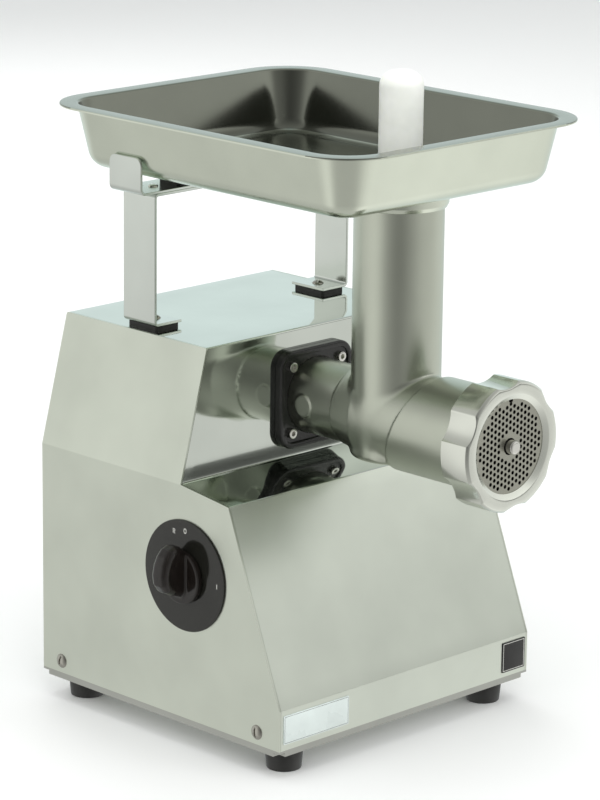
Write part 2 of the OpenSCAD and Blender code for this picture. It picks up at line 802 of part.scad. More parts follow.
// Strip bracket: C shape with the foot and the top flange turned inward
module bracket(side) {
  mid = (strip_y0 + strip_y1) / 2;
  inner_x = strip_x - strip_t;
  mirror([side < 0 ? 1 : 0, 0, 0]) difference() {
    translate([0, strip_y1, 0]) rotate([90, 0, 0]) linear_extrude(strip_y1 - strip_y0) difference() {
      union() {
        translate([strip_x - strip_flange, strip_base])
          square([strip_flange - 4, strip_top - strip_base]);
        translate([strip_x - 4, strip_base + 4]) square([4, strip_top - strip_base - 8]);
        for (z = [strip_base + 4, strip_top - 4]) translate([strip_x - 4, z]) circle(4, $fn = 32);
      }
      translate([strip_x - strip_flange - 1, strip_base + strip_t])
        square([strip_flange - 1 - strip_t, strip_top - strip_base - 2 * strip_t]);
      translate([strip_x - strip_flange - 1, strip_base - 1]) square([strip_flange - strip_foot + 1, strip_t + 1.5]);
      translate([inner_x - 2, strip_base + strip_t + 2])
        square([2, strip_top - strip_base - 2 * strip_t - 4]);
    }
    translate([foot_screw_x, mid, strip_base - 1]) cylinder(r = 2.6, h = strip_t + 2);
    translate([clip_screw_x, mid, strip_top - strip_t - 1]) cylinder(r = 2.1, h = strip_t + 2);
  }
}
module bracket_left() { color("lightgray") bracket(-1); }
module bracket_right() { color("lightgray") bracket(1); }

module bracket_pads() {
  mid = (strip_y0 + strip_y1) / 2;
  color("black") for (s = [-1, 1]) difference() {
    translate([s * (strip_x - 14) - 11, strip_y0 + 1.5, house_top])
      cube([22, strip_y1 - strip_y0 - 3, pad_t]);
    translate([s * foot_screw_x, mid, house_top - 1]) cylinder(r = 2.6, h = pad_t + 2);
  }
}

module bracket_screws() {
  mid = (strip_y0 + strip_y1) / 2;
  color("dimgray") for (s = [-1, 1]) translate([s * foot_screw_x, mid, strip_base + strip_t])
    rotate([0, -90, 0]) pan_screw(4.6, 2.6, 2.5, 12);
}

// L clip: leg flat on the bracket's flange, tab turned up outside the tray's wall
module tray_clip(side) {
  mid = (strip_y0 + strip_y1) / 2;
  t = 1.8;
  bend = 5;
  mirror([side < 0 ? 1 : 0, 0, 0]) difference() {
    intersection() {
      translate([0, strip_y1, strip_top]) rotate([90, 0, 0]) linear_extrude(strip_y1 - strip_y0)
        difference() {
          union() {
            translate([clip_in_x, 0]) square([clip_out_x - clip_in_x - bend, t]);
            translate([clip_out_x - t, bend]) square([t, clip_tab_top - strip_top - bend]);
            translate([clip_out_x - bend, bend]) intersection() {
              difference() {
                circle(bend, $fn = 48);
                circle(bend - t, $fn = 48);
              }
              translate([0, -bend]) square(bend);
            }
          }
        }
      translate([0, mid, 0]) rotate([90, 0, 90]) linear_extrude(200)
        translate([0, strip_top - 40 + (clip_tab_top - strip_top) / 2 + 20])
          rounded_square(strip_y1 - strip_y0, clip_tab_top - strip_top + 40, 6);
    }
    translate([clip_screw_x, mid, strip_top - 1]) cylinder(r = 2.1, h = t + 2);
  }
}
module tray_clip_left() { color("gainsboro") tray_clip(-1); }
module tray_clip_right() { color("gainsboro") tray_clip(1); }

module clip_rivets() {
  mid = (strip_y0 + strip_y1) / 2;
  color("gray") for (s = [-1, 1]) translate([s * clip_screw_x, mid, 0]) {
    translate([0, 0, strip_top - strip_t - 1.6]) cylinder(r = 3.6, h = 1.6);
    translate([0, 0, strip_top - strip_t - eps]) cylinder(r = 2, h = strip_t + 1.9);
    translate([0, 0, strip_top + 1.8]) cylinder(r = 3.6, h = 1.2);
  }
}

module tray_buffers() {
  mid = (strip_y0 + strip_y1) / 2;
  color("black") for (s = [-1, 1])
    translate([s * (clip_in_x + 9) - 7, mid - 11, strip_top + 1.8])
      cube([14, 22, tray_floor - 0.05 - strip_top - 1.8]);
}

// Tray: flat rim, walls that lean in, rounded floor edge, and a collar that slips over the feed tube
module tray_outline(inset_by) {
  r = rim_corner - inset_by;
  translate([0, (tray_front + tray_back) / 2])
    rounded_square(tray_w - 2 * inset_by, tray_back - tray_front - 2 * inset_by, r);
}

// Bowl below the rim: straight leaning walls, then a quarter-round edge down to the floor
function wall_inset(z) = rim_w + tray_taper * (tray_top - z) / (tray_top - tray_floor);
module tray_bowl(shrink, above) {
  steps = 5;
  edge = floor_edge_r - shrink;
  hull() {
    translate([0, 0, tray_top - 0.01]) linear_extrude(0.01 + above) tray_outline(rim_w + shrink, $fn = 32);
    for (i = [0:steps]) {
      z = tray_floor + shrink + edge * (1 - sin(90 * i / steps));
      translate([0, 0, z]) linear_extrude(0.01)
        tray_outline(wall_inset(z) + shrink + edge * (1 - cos(90 * i / steps)), $fn = 32);
    }
  }
}

module tray() {
  color("lightgray") difference() {
    union() {
      difference() {
        union() {
          translate([0, 0, tray_top - tray_sheet]) linear_extrude(tray_sheet) tray_outline(0, $fn = 48);
          tray_bowl(0, 0);
        }
        tray_bowl(tray_sheet, 1);
      }
      translate([0, tube_y, collar_bottom]) cylinder(r = collar_out_r, h = tray_floor + 0.5 - collar_bottom);
    }
    translate([0, tube_y, collar_bottom - 1]) cylinder(r = collar_in_r, h = tray_floor - collar_bottom + 1);
    translate([0, tube_y, collar_bottom - 1]) cylinder(r = throat_r, h = 40);
  }
}

module pusher() {
  color("white") {
    translate([0, tube_y, rod_bottom]) cylinder(r = plunger_r, h = plunger_h);
    translate([0, tube_y, rod_bottom]) cylinder(r = rod_r, h = rod_top - rod_bottom - 5);
    translate([0, tube_y, rod_top - 5]) rotate_extrude() intersection() {
      union() {
        square([rod_r - 5, 5]);
        translate([rod_r - 5, 0]) circle(5);
      }
      square([rod_r, 5]);
    }
  }
}

housing_wrap();
side_panel_left();
side_panel_right();
side_screws();
base_pan();
rubber_feet();
foot_screws();
name_plate();
rating_plate();
mounting_flange();
flange_screws();
flange_gasket();
head_casting();
neck_pin();
neck_bush();
worm();
thrust_washer();
worm_stud();
knife();
plate_key();
perforated_plate();
ring_nut();
output_shaft();
output_gear();
output_bearings();
layshaft();
layshaft_gear();
layshaft_pinion();
layshaft_bushes();
gearbox_cover();
gearbox_case();
gearbox_screws();
motor_can();
motor_stator();
motor_front_cap();
motor_rear_cap();
motor_bearings();
motor_cradle();
rotor_core();
rotor_shaft();
motor_pinion();
cooling_fan();
run_capacitor();
terminal_block();
cable_gland();
gland_nut();
dial_plate();
switch_body();
knob();
knob_spindle();
bracket_left();
bracket_right();
bracket_pads();
bracket_screws();
tray_clip_left();
tray_clip_right();
clip_rivets();
tray_buffers();
tray();
pusher();
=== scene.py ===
"""Looks of the bench meat grinder: camera, light, materials and the detailed pieces that stand for CAD nodes.

Lengths in the shape functions are in millimetres, in the part's own frame: X = 0 is the head's plane of
symmetry, -Y is the delivery side and the feet stand on Z = 0.
"""

import math

import bmesh
import bpy
import numpy as np
from mathutils import Matrix, Vector


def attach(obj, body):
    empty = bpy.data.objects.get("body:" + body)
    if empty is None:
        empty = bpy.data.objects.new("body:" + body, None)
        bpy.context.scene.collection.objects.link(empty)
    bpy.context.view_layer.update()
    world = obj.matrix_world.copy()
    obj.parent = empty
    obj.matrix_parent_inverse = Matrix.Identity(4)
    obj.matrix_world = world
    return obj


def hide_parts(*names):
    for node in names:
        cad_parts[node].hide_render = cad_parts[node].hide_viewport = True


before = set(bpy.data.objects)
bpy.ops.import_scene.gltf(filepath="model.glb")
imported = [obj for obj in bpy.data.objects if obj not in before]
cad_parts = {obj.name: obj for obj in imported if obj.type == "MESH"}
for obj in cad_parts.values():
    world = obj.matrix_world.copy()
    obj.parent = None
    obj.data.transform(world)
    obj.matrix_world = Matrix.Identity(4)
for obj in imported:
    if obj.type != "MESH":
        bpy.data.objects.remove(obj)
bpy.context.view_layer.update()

MM = 0.001

# Head: the worm's axis and the feed tube's axis, outer radii, bores, and the tube's open end
AXIS_Z, TUBE_Y = 236.5, -62.0
NECK_R, BARREL_R, TUBE_R, TUBE_TOP = 27.8, 36.3, 31.7, 397.4
THROAT_R, WORM_BORE_R, PLATE_R, NECK_BORE_R = 26.0, 27.0, 35.0, 16.0
THREAD_PITCH = 3.0


# ---------------------------------------------------------------- materials

# Most of a noise texture's values lie between these two.
NOISE_LOW, NOISE_HIGH = 0.3, 0.7


def new_material(name, colour, metallic, roughness):
    """A Principled material; returns it with its node tree and shader."""
    material = bpy.data.materials.new(name)
    material.use_nodes = True
    tree = material.node_tree
    shader = tree.nodes["Principled BSDF"]
    shader.inputs["Base Color"].default_value = (*colour, 1)
    shader.inputs["Metallic"].default_value = metallic
    shader.inputs["Roughness"].default_value = roughness
    return material, tree, shader


def noise(tree, scale, stretch=(1, 1, 1), detail=4.0):
    """Noise over the object's own coordinates; scale is in cycles per metre, stretch divides it by axis."""
    place = tree.nodes.new("ShaderNodeTexCoord")
    mapping = tree.nodes.new("ShaderNodeMapping")
    mapping.inputs["Scale"].default_value = [scale / s for s in stretch]
    texture = tree.nodes.new("ShaderNodeTexNoise")
    texture.inputs["Scale"].default_value = 1.0
    texture.inputs["Detail"].default_value = detail
    tree.links.new(place.outputs["Object"], mapping.inputs["Vector"])
    tree.links.new(mapping.outputs["Vector"], texture.inputs["Vector"])
    return texture.outputs["Fac"]


def remap(tree, value, low, high):
    """Maps a noise value onto low..high."""
    node = tree.nodes.new("ShaderNodeMapRange")
    node.inputs["From Min"].default_value = NOISE_LOW
    node.inputs["From Max"].default_value = NOISE_HIGH
    node.inputs["To Min"].default_value = low
    node.inputs["To Max"].default_value = high
    tree.links.new(value, node.inputs["Value"])
    return node.outputs["Result"]


def tint(tree, shader, value, dark, light):
    """Base colour between dark and light by a noise value."""
    ramp = tree.nodes.new("ShaderNodeValToRGB")
    ramp.color_ramp.elements[0].position = NOISE_LOW
    ramp.color_ramp.elements[0].color = (*dark, 1)
    ramp.color_ramp.elements[1].position = NOISE_HIGH
    ramp.color_ramp.elements[1].color = (*light, 1)
    tree.links.new(value, ramp.inputs["Fac"])
    tree.links.new(ramp.outputs["Color"], shader.inputs["Base Color"])


def bump(tree, shader, value, strength, distance):
    """Bump from a value; distance is in metres."""
    node = tree.nodes.new("ShaderNodeBump")
    node.inputs["Strength"].default_value = strength
    node.inputs["Distance"].default_value = distance
    tree.links.new(value, node.inputs["Height"])
    tree.links.new(node.outputs["Normal"], shader.inputs["Normal"])


def metal(name, colour, rough, spread=0.05, grain=900, stretch=(40, 1, 1), relief=0.05):
    """Metal with slow cloudiness in its colour and a fine directional grain, which its roughness follows."""
    material, tree, shader = new_material(name, colour, 1.0, rough)
    cloud = noise(tree, 14, detail=3)
    tint(tree, shader, cloud, [c * 0.94 for c in colour], [min(1, c * 1.05) for c in colour])
    lines = noise(tree, grain, stretch, detail=3)
    tree.links.new(remap(tree, lines, rough - spread, rough + spread), shader.inputs["Roughness"])
    bump(tree, shader, lines, relief, 0.0001)
    return material


def plastic(name, colour, rough, grain=700, relief=0.1, spread=0.06):
    """Moulded plastic or rubber with a fine pebble; its colour and roughness follow a slow cloudiness."""
    material, tree, shader = new_material(name, colour, 0.0, rough)
    pebble = noise(tree, grain, detail=2)
    cloud = noise(tree, 30, detail=3)
    tint(tree, shader, cloud, [c * 0.88 for c in colour], [min(1, c * 1.1 + 0.002) for c in colour])
    tree.links.new(remap(tree, cloud, rough - spread, rough + spread), shader.inputs["Roughness"])
    bump(tree, shader, pebble, relief, 0.0002)
    return material


# Colour, roughness and its spread, grain in cycles per metre, the grain's stretch by axis, and relief.
# The sheets' colours differ only to make up for how this studio lights each of them, which is why the
# tray's inside is much darker than its outside.
side_steel = metal("side_panel_steel", (0.64, 0.68, 0.60), 0.30, 0.02, 1500, (1, 1, 60), 0.006)
front_steel = metal("front_sheet_steel", (0.66, 0.70, 0.65), 0.065, 0.015, 1500, (60, 1, 1), 0.002)
slope_steel_painted_light = metal("slope_steel_painted_light", (0.70, 0.745, 0.67), 0.33, 0.015, 1500, (60, 1, 1), 0.003)
rim_steel = metal("tray_bowl_steel", (0.28, 0.295, 0.25), 0.17, 0.02, 1400, (2, 2, 2), 0.004)
well_steel = metal("tray_well_steel", (0.18, 0.19, 0.162), 0.17, 0.02, 1400, (2, 2, 2), 0.004)
well_floor_steel = metal("tray_floor_steel", (0.48, 0.51, 0.44), 0.17, 0.02, 1400, (2, 2, 2), 0.004)
tray_steel = metal("tray_steel", (0.68, 0.72, 0.62), 0.20, 0.02, 1400, (2, 2, 2), 0.004)
strip_steel = metal("strip_steel", (0.68, 0.72, 0.68), 0.18, 0.03, 1500, (1, 1, 40), 0.02)
pan_steel = metal("pan_steel", (0.45, 0.46, 0.43), 0.38, 0.05, 600, (8, 8, 8), 0.05)
screw_steel = metal("screw_steel", (0.72, 0.71, 0.67), 0.22, 0.05, 900, (3, 3, 3), 0.05)
slotted_steel = metal("pan_screw_steel", (0.42, 0.41, 0.37), 0.16, 0.05, 900, (3, 3, 3), 0.05)
cast_steel = metal("head_casting_steel", (0.54, 0.57, 0.49), 0.31, 0.03, 1800, (1, 1, 1), 0.006)
nut_steel = metal("ring_nut_steel", (0.73, 0.75, 0.69), 0.17, 0.03, 1800, (1, 1, 1), 0.006)
ground_steel = metal("ground_steel", (0.38, 0.38, 0.33), 0.30, 0.05, 1200, (1, 1, 1), 0.02)
gear_steel = metal("gear_steel", (0.42, 0.41, 0.39), 0.35, 0.08, 900, (2, 2, 2), 0.08)
lamination = metal("lamination_steel", (0.25, 0.25, 0.25), 0.5, 0.05, 1500, (40, 1, 40), 0.2)
aluminium = metal("cast_aluminium", (0.60, 0.60, 0.59), 0.45, 0.08, 500, (2, 2, 2), 0.15)
bronze = metal("sintered_bronze", (0.50, 0.34, 0.15), 0.42, 0.06, 900, (2, 2, 2), 0.1)
enamel = plastic("motor_enamel", (0.05, 0.06, 0.07), 0.35)
black_plastic = plastic("black_plastic", (0.008, 0.006, 0.005), 0.12, 900, 0.01, 0.03)
dial_black = plastic("dial_black", (0.009, 0.009, 0.007), 0.09, 1200, 0.004, 0.02)
flange_black = plastic("flange_black", (0.012, 0.012, 0.011), 0.22, 900, 0.02)
rubber = plastic("black_rubber", (0.015, 0.015, 0.014), 0.50, 600, 0.25)
nylon = plastic("natural_nylon", (0.78, 0.76, 0.70), 0.45)
white_plastic = plastic("white_plastic", (0.90, 0.92, 0.86), 0.42, 400, 0.05)
white_shader = white_plastic.node_tree.nodes["Principled BSDF"]
white_shader.inputs["Subsurface Weight"].default_value = 0.15
white_shader.inputs["Subsurface Radius"].default_value = (0.004, 0.004, 0.003)
print_white = plastic("printed_mark", (0.60, 0.60, 0.56), 0.5, 900, 0.02)
pale_label = plastic("pale_label", (0.62, 0.68, 0.66), 0.28, 300, 0.02)
black_label = plastic("black_label", (0.008, 0.008, 0.008), 0.25, 300, 0.02)

NODE_MATERIALS = {
    pan_steel: ["base_pan", "motor_cradle"],
    screw_steel: ["side_screws", "foot_screws", "flange_screws", "neck_pin", "worm_stud", "gearbox_screws",
                  "knob_spindle", "bracket_screws", "clip_rivets"],
    rubber: ["rubber_feet", "flange_gasket", "bracket_pads", "tray_buffers"],
    black_plastic: ["cable_gland", "gland_nut", "switch_body", "knob"],
    flange_black: ["mounting_flange"],
    dial_black: ["dial_plate"],
    pale_label: ["name_plate"],
    black_label: ["rating_plate"],
    cast_steel: ["head_casting", "worm"],
    nut_steel: ["ring_nut"],
    ground_steel: ["perforated_plate", "knife", "plate_key"],
    gear_steel: ["output_shaft", "output_gear", "output_bearings", "layshaft", "layshaft_gear",
                 "layshaft_pinion", "rotor_shaft", "motor_pinion", "motor_bearings"],
    bronze: ["neck_bush", "layshaft_bushes"],
    nylon: ["thrust_washer", "cooling_fan", "run_capacitor", "terminal_block"],
    aluminium: ["gearbox_cover", "gearbox_case", "motor_front_cap", "motor_rear_cap"],
    enamel: ["motor_can"],
    lamination: ["motor_stator", "rotor_core"],
    front_steel: ["housing_wrap"],
    side_steel: ["side_panel_left", "side_panel_right"],
    strip_steel: ["bracket_left", "bracket_right", "tray_clip_left", "tray_clip_right"],
    tray_steel: ["tray"],
    white_plastic: ["pusher"],
}
for finish, nodes in NODE_MATERIALS.items():
    for node in nodes:
        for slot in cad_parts[node].material_slots:
            slot.material = finish


# ---------------------------------------------------------------- mesh helpers

def add_piece(name, points, faces, material, body, replaces=(), smooth_angle=30):
    """Makes a piece from points in millimetres, with sharp edges kept above smooth_angle."""
    mesh = bpy.data.meshes.new(name)
    mesh.from_pydata([tuple(float(c) * MM for c in p) for p in points], [], faces)
    piece = bpy.data.objects.new(name, mesh)
    return finish_piece(piece, material, body, replaces, smooth_angle)


def finish_piece(piece, material, body, replaces=(), smooth_angle=30):
    """Normals, shading, material and body of a new piece."""
    mesh = piece.data
    shape = bmesh.new()
    shape.from_mesh(mesh)
    bmesh.ops.remove_doubles(shape, verts=shape.verts, dist=1e-6)
    bmesh.ops.recalc_face_normals(shape, faces=shape.faces)
    limit = math.radians(smooth_angle)
    for edge in shape.edges:
        edge.smooth = len(edge.link_faces) == 2 and edge.calc_face_angle(0) < limit
    for face in shape.faces:
        face.smooth = True
    shape.to_mesh(mesh)
    shape.free()
    mesh.materials.clear()
    mesh.materials.append(material)
    bpy.context.scene.collection.objects.link(piece)
    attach(piece, body)
    if replaces:
        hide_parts(*replaces)
    return piece


def bevel(piece, width, segments=3, angle=30):
    """Rounds the piece's sharp edges; width is in millimetres."""
    modifier = piece.modifiers.new("rounded_edges", "BEVEL")
    modifier.width = width * MM
    modifier.segments = segments
    modifier.limit_method = "ANGLE"
    modifier.angle_limit = math.radians(angle)
    modifier.harden_normals = False
    return piece


def grid_faces(rows, columns, wrap_rows=False, wrap_columns=False):
    """Quads over a rows x columns grid of points."""
    faces = []
    for r in range(rows if wrap_rows else rows - 1):
        for c in range(columns if wrap_columns else columns - 1):
            r2, c2 = (r + 1) % rows, (c + 1) % columns
            faces.append((r * columns + c, r * columns + c2, r2 * columns + c2, r2 * columns + c))
    return faces


def lathe(name, profile, origin, axis, material, body, replaces=(), segments=128, smooth_angle=30):
    """Turned piece from [radius, height] points along axis ("X", "Y" or "Z"); a closed profile makes a ring.

    A radius may be a function of the angle, which makes hexagons and lobes.
    """
    closed = profile[0] == profile[-1]
    rows = profile[:-1] if closed else profile
    points = []
    for radius, height in rows:
        for k in range(segments):
            a = 2 * math.pi * k / segments
            r = radius(a) if callable(radius) else radius
            u, v = r * math.cos(a), r * math.sin(a)
            place = {"X": (height, u, v), "Y": (u, height, v), "Z": (u, v, height)}[axis]
            points.append([o + p for o, p in zip(origin, place)])
    return add_piece(name, points, grid_faces(len(rows), segments, closed, True), material, body,
                     replaces, smooth_angle)


def rounded_profile(corners, radii, steps=6):
    """Open polyline with its inner corners rounded: corners are 2D points, radii one per inner corner."""
    corners = [np.array(c, float) for c in corners]
    out = [corners[0]]
    for i in range(1, len(corners) - 1):
        before, here, after = corners[i - 1:i + 2]
        a = (before - here) / np.linalg.norm(before - here)
        b = (after - here) / np.linalg.norm(after - here)
        half = math.acos(max(-1, min(1, float(a @ b)))) / 2
        radius = radii[i - 1]
        if radius <= 0 or half > math.radians(89.5):
            out.append(here)
            continue
        reach = radius / math.tan(half)
        centre = here + (a + b) / np.linalg.norm(a + b) * radius / math.sin(half)
        start, end = here + a * reach - centre, here + b * reach - centre
        a0, a1 = math.atan2(start[1], start[0]), math.atan2(end[1], end[0])
        turn = (a1 - a0 + math.pi) % (2 * math.pi) - math.pi
        for k in range(steps + 1):
            angle = a0 + turn * k / steps
            out.append(centre + radius * np.array([math.cos(angle), math.sin(angle)]))
    out.append(corners[-1])
    return out


def thicken(line, thickness):
    """Both faces of a sheet section: the line, and the line offset to its left by the thickness."""
    line = [np.array(p) for p in line]
    normals = []
    for a, b in zip(line[:-1], line[1:]):
        d = (b - a) / max(np.linalg.norm(b - a), 1e-9)
        normals.append(np.array([-d[1], d[0]]))
    offset = []
    for i, p in enumerate(line):
        n1, n2 = normals[max(i - 1, 0)], normals[min(i, len(normals) - 1)]
        offset.append(p + (n1 + n2) * thickness / (1 + float(n1 @ n2)))
    return line, offset


# ---------------------------------------------------------------- implicit shapes

def soft_union(a, b, k):
    """Union of two distance fields with a fillet of about k millimetres."""
    h = np.clip(0.5 + 0.5 * (b - a) / k, 0, 1)
    return b + (a - b) * h - k * h * (1 - h)


def soft_cut(a, b, k):
    """Field a with field b cut out, its edge rounded by about k millimetres."""
    return -soft_union(-a, b, k)


def capped(radial, axial, rounding):
    """Distance to a capped round shape from its radial and axial distances."""
    r, h = radial + rounding, axial + rounding
    return np.minimum(np.maximum(r, h), 0) + np.hypot(np.maximum(r, 0), np.maximum(h, 0)) - rounding


def bar_y(p, radius, y0, y1):
    """Distance to a round bar on the worm's axis."""
    radial = np.hypot(p[:, 0], p[:, 2] - AXIS_Z) - radius
    return capped(radial, np.maximum(y0 - p[:, 1], p[:, 1] - y1), 0)


def bar_z(p, radius, z0, z1, rounding=0):
    """Distance to a round bar on the feed tube's axis."""
    radial = np.hypot(p[:, 0], p[:, 1] - TUBE_Y) - radius
    return capped(radial, np.maximum(z0 - p[:, 2], p[:, 2] - z1), rounding)


def bar_x(p, radius, x0, x1, y, z, rounding):
    """Distance to a round bar along X."""
    radial = np.hypot(p[:, 1] - y, p[:, 2] - z) - radius
    return capped(radial, np.maximum(x0 - p[:, 0], p[:, 0] - x1), rounding)


def implicit_piece(name, field, low, high, step, material, body, replaces=(), smooth_angle=40):
    """Surface of field = 0 as a quad mesh: one point in each cell that the surface crosses, moved onto it."""
    low, high = np.array(low, float), np.array(high, float)
    count = np.ceil((high - low) / step).astype(int) + 1
    axes = [low[i] + step * np.arange(count[i]) for i in range(3)]
    grid = np.stack(np.meshgrid(*axes, indexing="ij"), -1)
    value = field(grid.reshape(-1, 3)).reshape(count)
    cells = tuple(count - 1)
    total = np.zeros(cells + (3,))
    crossings = np.zeros(cells)
    corners = [(i, j, k) for i in (0, 1) for j in (0, 1) for k in (0, 1)]

    def corner(c, array):
        """Values at one corner of every cell."""
        return array[c[0]:c[0] + cells[0], c[1]:c[1] + cells[1], c[2]:c[2] + cells[2]]

    for a in corners:
        for axis in range(3):
            if a[axis]:
                continue
            b = tuple(1 if i == axis else a[i] for i in range(3))
            va, vb = corner(a, value), corner(b, value)
            hit = (va < 0) != (vb < 0)
            t = np.where(hit, va / np.where(hit, va - vb, 1), 0)[..., None]
            total += np.where(hit[..., None], corner(a, grid) * (1 - t) + corner(b, grid) * t, 0)
            crossings += hit
    index = np.full(cells, -1)
    used = crossings > 0
    index[used] = np.arange(used.sum())
    points = total[used] / crossings[used][:, None]
    faces = []
    for axis in range(3):
        u, v = (axis + 1) % 3, (axis + 2) % 3
        inner = [slice(0, count[i] - 1) if i == axis else slice(1, count[i] - 1) for i in range(3)]
        ahead = list(inner)
        ahead[axis] = slice(1, count[axis])
        va, vb = value[tuple(inner)], value[tuple(ahead)]
        at = np.argwhere((va < 0) != (vb < 0))
        flip = (va < 0)[(va < 0) != (vb < 0)]
        at[:, u] += 1
        at[:, v] += 1
        quad = []
        for du, dv in ((-1, -1), (0, -1), (0, 0), (-1, 0)):
            cell = at.copy()
            cell[:, u] += du
            cell[:, v] += dv
            quad.append(index[cell[:, 0], cell[:, 1], cell[:, 2]])
        quad = np.stack(quad, 1)
        quad[~flip] = quad[~flip][:, ::-1]
        faces.append(quad)
    faces = np.concatenate(faces)
    # Four steps along the field's slope, measured over twice the reach, bring the points onto the surface.
    reach, flattest = 0.05, 0.25
    for _ in range(4):
        here = field(points)
        slope = np.stack([(field(points + d) - field(points - d)) / (2 * reach)
                          for d in np.eye(3) * reach], 1)
        size = np.maximum((slope ** 2).sum(1), flattest)
        points = points - np.clip(here / size, -step, step)[:, None] * slope
    mesh = bpy.data.meshes.new(name)
    mesh.from_pydata((points * MM).tolist(), [], faces.tolist())
    piece = bpy.data.objects.new(name, mesh)
    return finish_piece(piece, material, body, replaces, smooth_angle)


# ---------------------------------------------------------------- small pieces

def hexagon(across):
    """Radius of a hexagon as a function of the angle, from its width across flats."""
    def radius(angle):
        """Distance from the centre to the side at an angle."""
        return across / 2 / math.cos((angle + math.pi / 6) % (math.pi / 3) - math.pi / 6)
    return radius


def rounded_slab(name, low, high, corner, edge, facing, material, body, replaces=()):
    """Thin block with rounded corners, and an edge rounded on its facing side ("+Z", "-Y" and so on)."""
    axis = "XYZ".index(facing[1])
    sign = 1 if facing[0] == "+" else -1
    u_axis, v_axis = [i for i in range(3) if i != axis]
    centre = [(a + b) / 2 for a, b in zip(low, high)]
    half_u, half_v = (high[u_axis] - low[u_axis]) / 2, (high[v_axis] - low[v_axis]) / 2
    depth = high[axis] - low[axis]
    rings = [(0, -depth / 2), (0, depth / 2 - edge)]
    rings += [(edge * (1 - math.cos(a)), depth / 2 - edge * (1 - math.sin(a)))
              for a in np.radians([22, 45, 67, 90])]
    quadrants = ((1, 1, 0), (-1, 1, 90), (-1, -1, 180), (1, -1, 270))
    turns = [(cu, cv, math.radians(start + turn)) for cu, cv, start in quadrants for turn in range(0, 91, 15)]
    per_ring = len(turns)
    points = []
    for inset, height in rings:
        r = max(corner - inset, 0.05)
        for cu, cv, a in turns:
            place = [0.0, 0.0, 0.0]
            place[u_axis] = cu * (half_u - inset - r) + r * math.cos(a)
            place[v_axis] = cv * (half_v - inset - r) + r * math.sin(a)
            place[axis] = sign * height
            points.append([c + q for c, q in zip(centre, place)])
    faces = grid_faces(len(rings), per_ring, False, True)
    faces.append(tuple(range(per_ring)))
    faces.append(tuple(range((len(rings) - 1) * per_ring, len(rings) * per_ring)))
    return add_piece(name, points, faces, material, body, replaces, 40)


def pan_screw(name, place, outward, slot, radius, height, replaces=()):
    """Domed screw head with a straight slot; outward and slot are unit directions."""
    place, outward, slot = (np.array(v, float) for v in (place, outward, slot))
    across = np.cross(outward, slot)
    ball = (radius ** 2 + height ** 2) / (2 * height)
    slot_half, slot_depth = 0.65, 1.4

    def field(p):
        """Dome on a short cylinder, with the slot cut out."""
        q = p - place
        rise, side, along = q @ outward, q @ across, q @ slot
        dome = np.sqrt((rise - height + ball) ** 2 + side ** 2 + along ** 2) - ball
        head = np.maximum(np.maximum(dome, np.hypot(side, along) - radius + 0.15), -0.2 - rise)
        return soft_cut(head, np.maximum(np.abs(side) - slot_half, height - slot_depth - rise), 0.15)

    reach = (radius + 0.8) * (1 - np.abs(outward)) + np.abs(outward)
    room = height + 0.5
    low = place - reach + np.minimum(outward, 0) * room
    high = place + reach + np.maximum(outward, 0) * room
    implicit_piece(name, field, low, high, 0.3, slotted_steel, "grinder", replaces)


# ---------------------------------------------------------------- camera, floor and light

def look_along(obj, forward, roll=0.0):
    """Turns a camera or lamp to face forward, then rolls it by an angle in degrees."""
    forward = Vector(forward).normalized()
    right = forward.cross(Vector((0, 0, 1))).normalized()
    up = right.cross(forward)
    r = math.radians(roll)
    right, up = right * math.cos(r) + up * math.sin(r), up * math.cos(r) - right * math.sin(r)
    obj.matrix_world = Matrix.Translation(obj.location) @ Matrix((right, up, -forward)).transposed().to_4x4()


def make_camera():
    """Long lens, well in front of the left corner and above the tray, rolled by less than a degree."""
    data = bpy.data.cameras.new("camera")
    data.lens = 159.57
    data.sensor_width = 36
    data.clip_end = 50
    camera = bpy.data.objects.new("camera", data)
    bpy.context.scene.collection.objects.link(camera)
    camera.location = (-1.7465, -1.7199, 0.8880)
    look_along(camera, (0.68202, 0.68458, -0.25728), 0.69)
    bpy.context.scene.camera = camera


def make_stage():
    """Pale floor that curves up far behind the object, on every side; its sizes are in metres."""
    flat, bend, wall_top = 7.8, 4.8, 8.0
    rings = [(1.0, 0.0), (3.0, 0.0), (flat, 0.0)]
    rings += [(flat + bend * math.sin(a), bend - bend * math.cos(a))
              for a in np.radians(np.arange(10, 91, 10))]
    rings.append((flat + bend, wall_top))
    segments = 64
    turns = [2 * math.pi * k / segments for k in range(segments)]
    points = [(r * math.cos(a), r * math.sin(a), h) for r, h in rings for a in turns]
    points.append((0, 0, 0))
    faces = grid_faces(len(rings), segments, False, True)
    faces += [(len(points) - 1, (k + 1) % segments, k) for k in range(segments)]
    mesh = bpy.data.meshes.new("studio_floor")
    mesh.from_pydata(points, [], faces)
    floor = bpy.data.objects.new("studio_floor", mesh)
    bpy.context.scene.collection.objects.link(floor)
    for polygon in mesh.polygons:
        polygon.use_smooth = True
    mesh.materials.append(new_material("studio_floor", (0.93, 0.93, 0.925), 0.0, 0.9)[0])
    floor.visible_glossy = False


def add_light(name, place, target, width, height, power, colour=(1, 1, 1)):
    """Softbox that gives diffuse light only; reflections show the round backdrop instead."""
    data = bpy.data.lights.new(name, "AREA")
    data.shape = "RECTANGLE"
    data.size, data.size_y = width, height
    data.energy = power
    data.color = colour
    light = bpy.data.objects.new(name, data)
    bpy.context.scene.collection.objects.link(light)
    light.location = place
    light.visible_glossy = False
    look_along(light, Vector(target) - Vector(place))


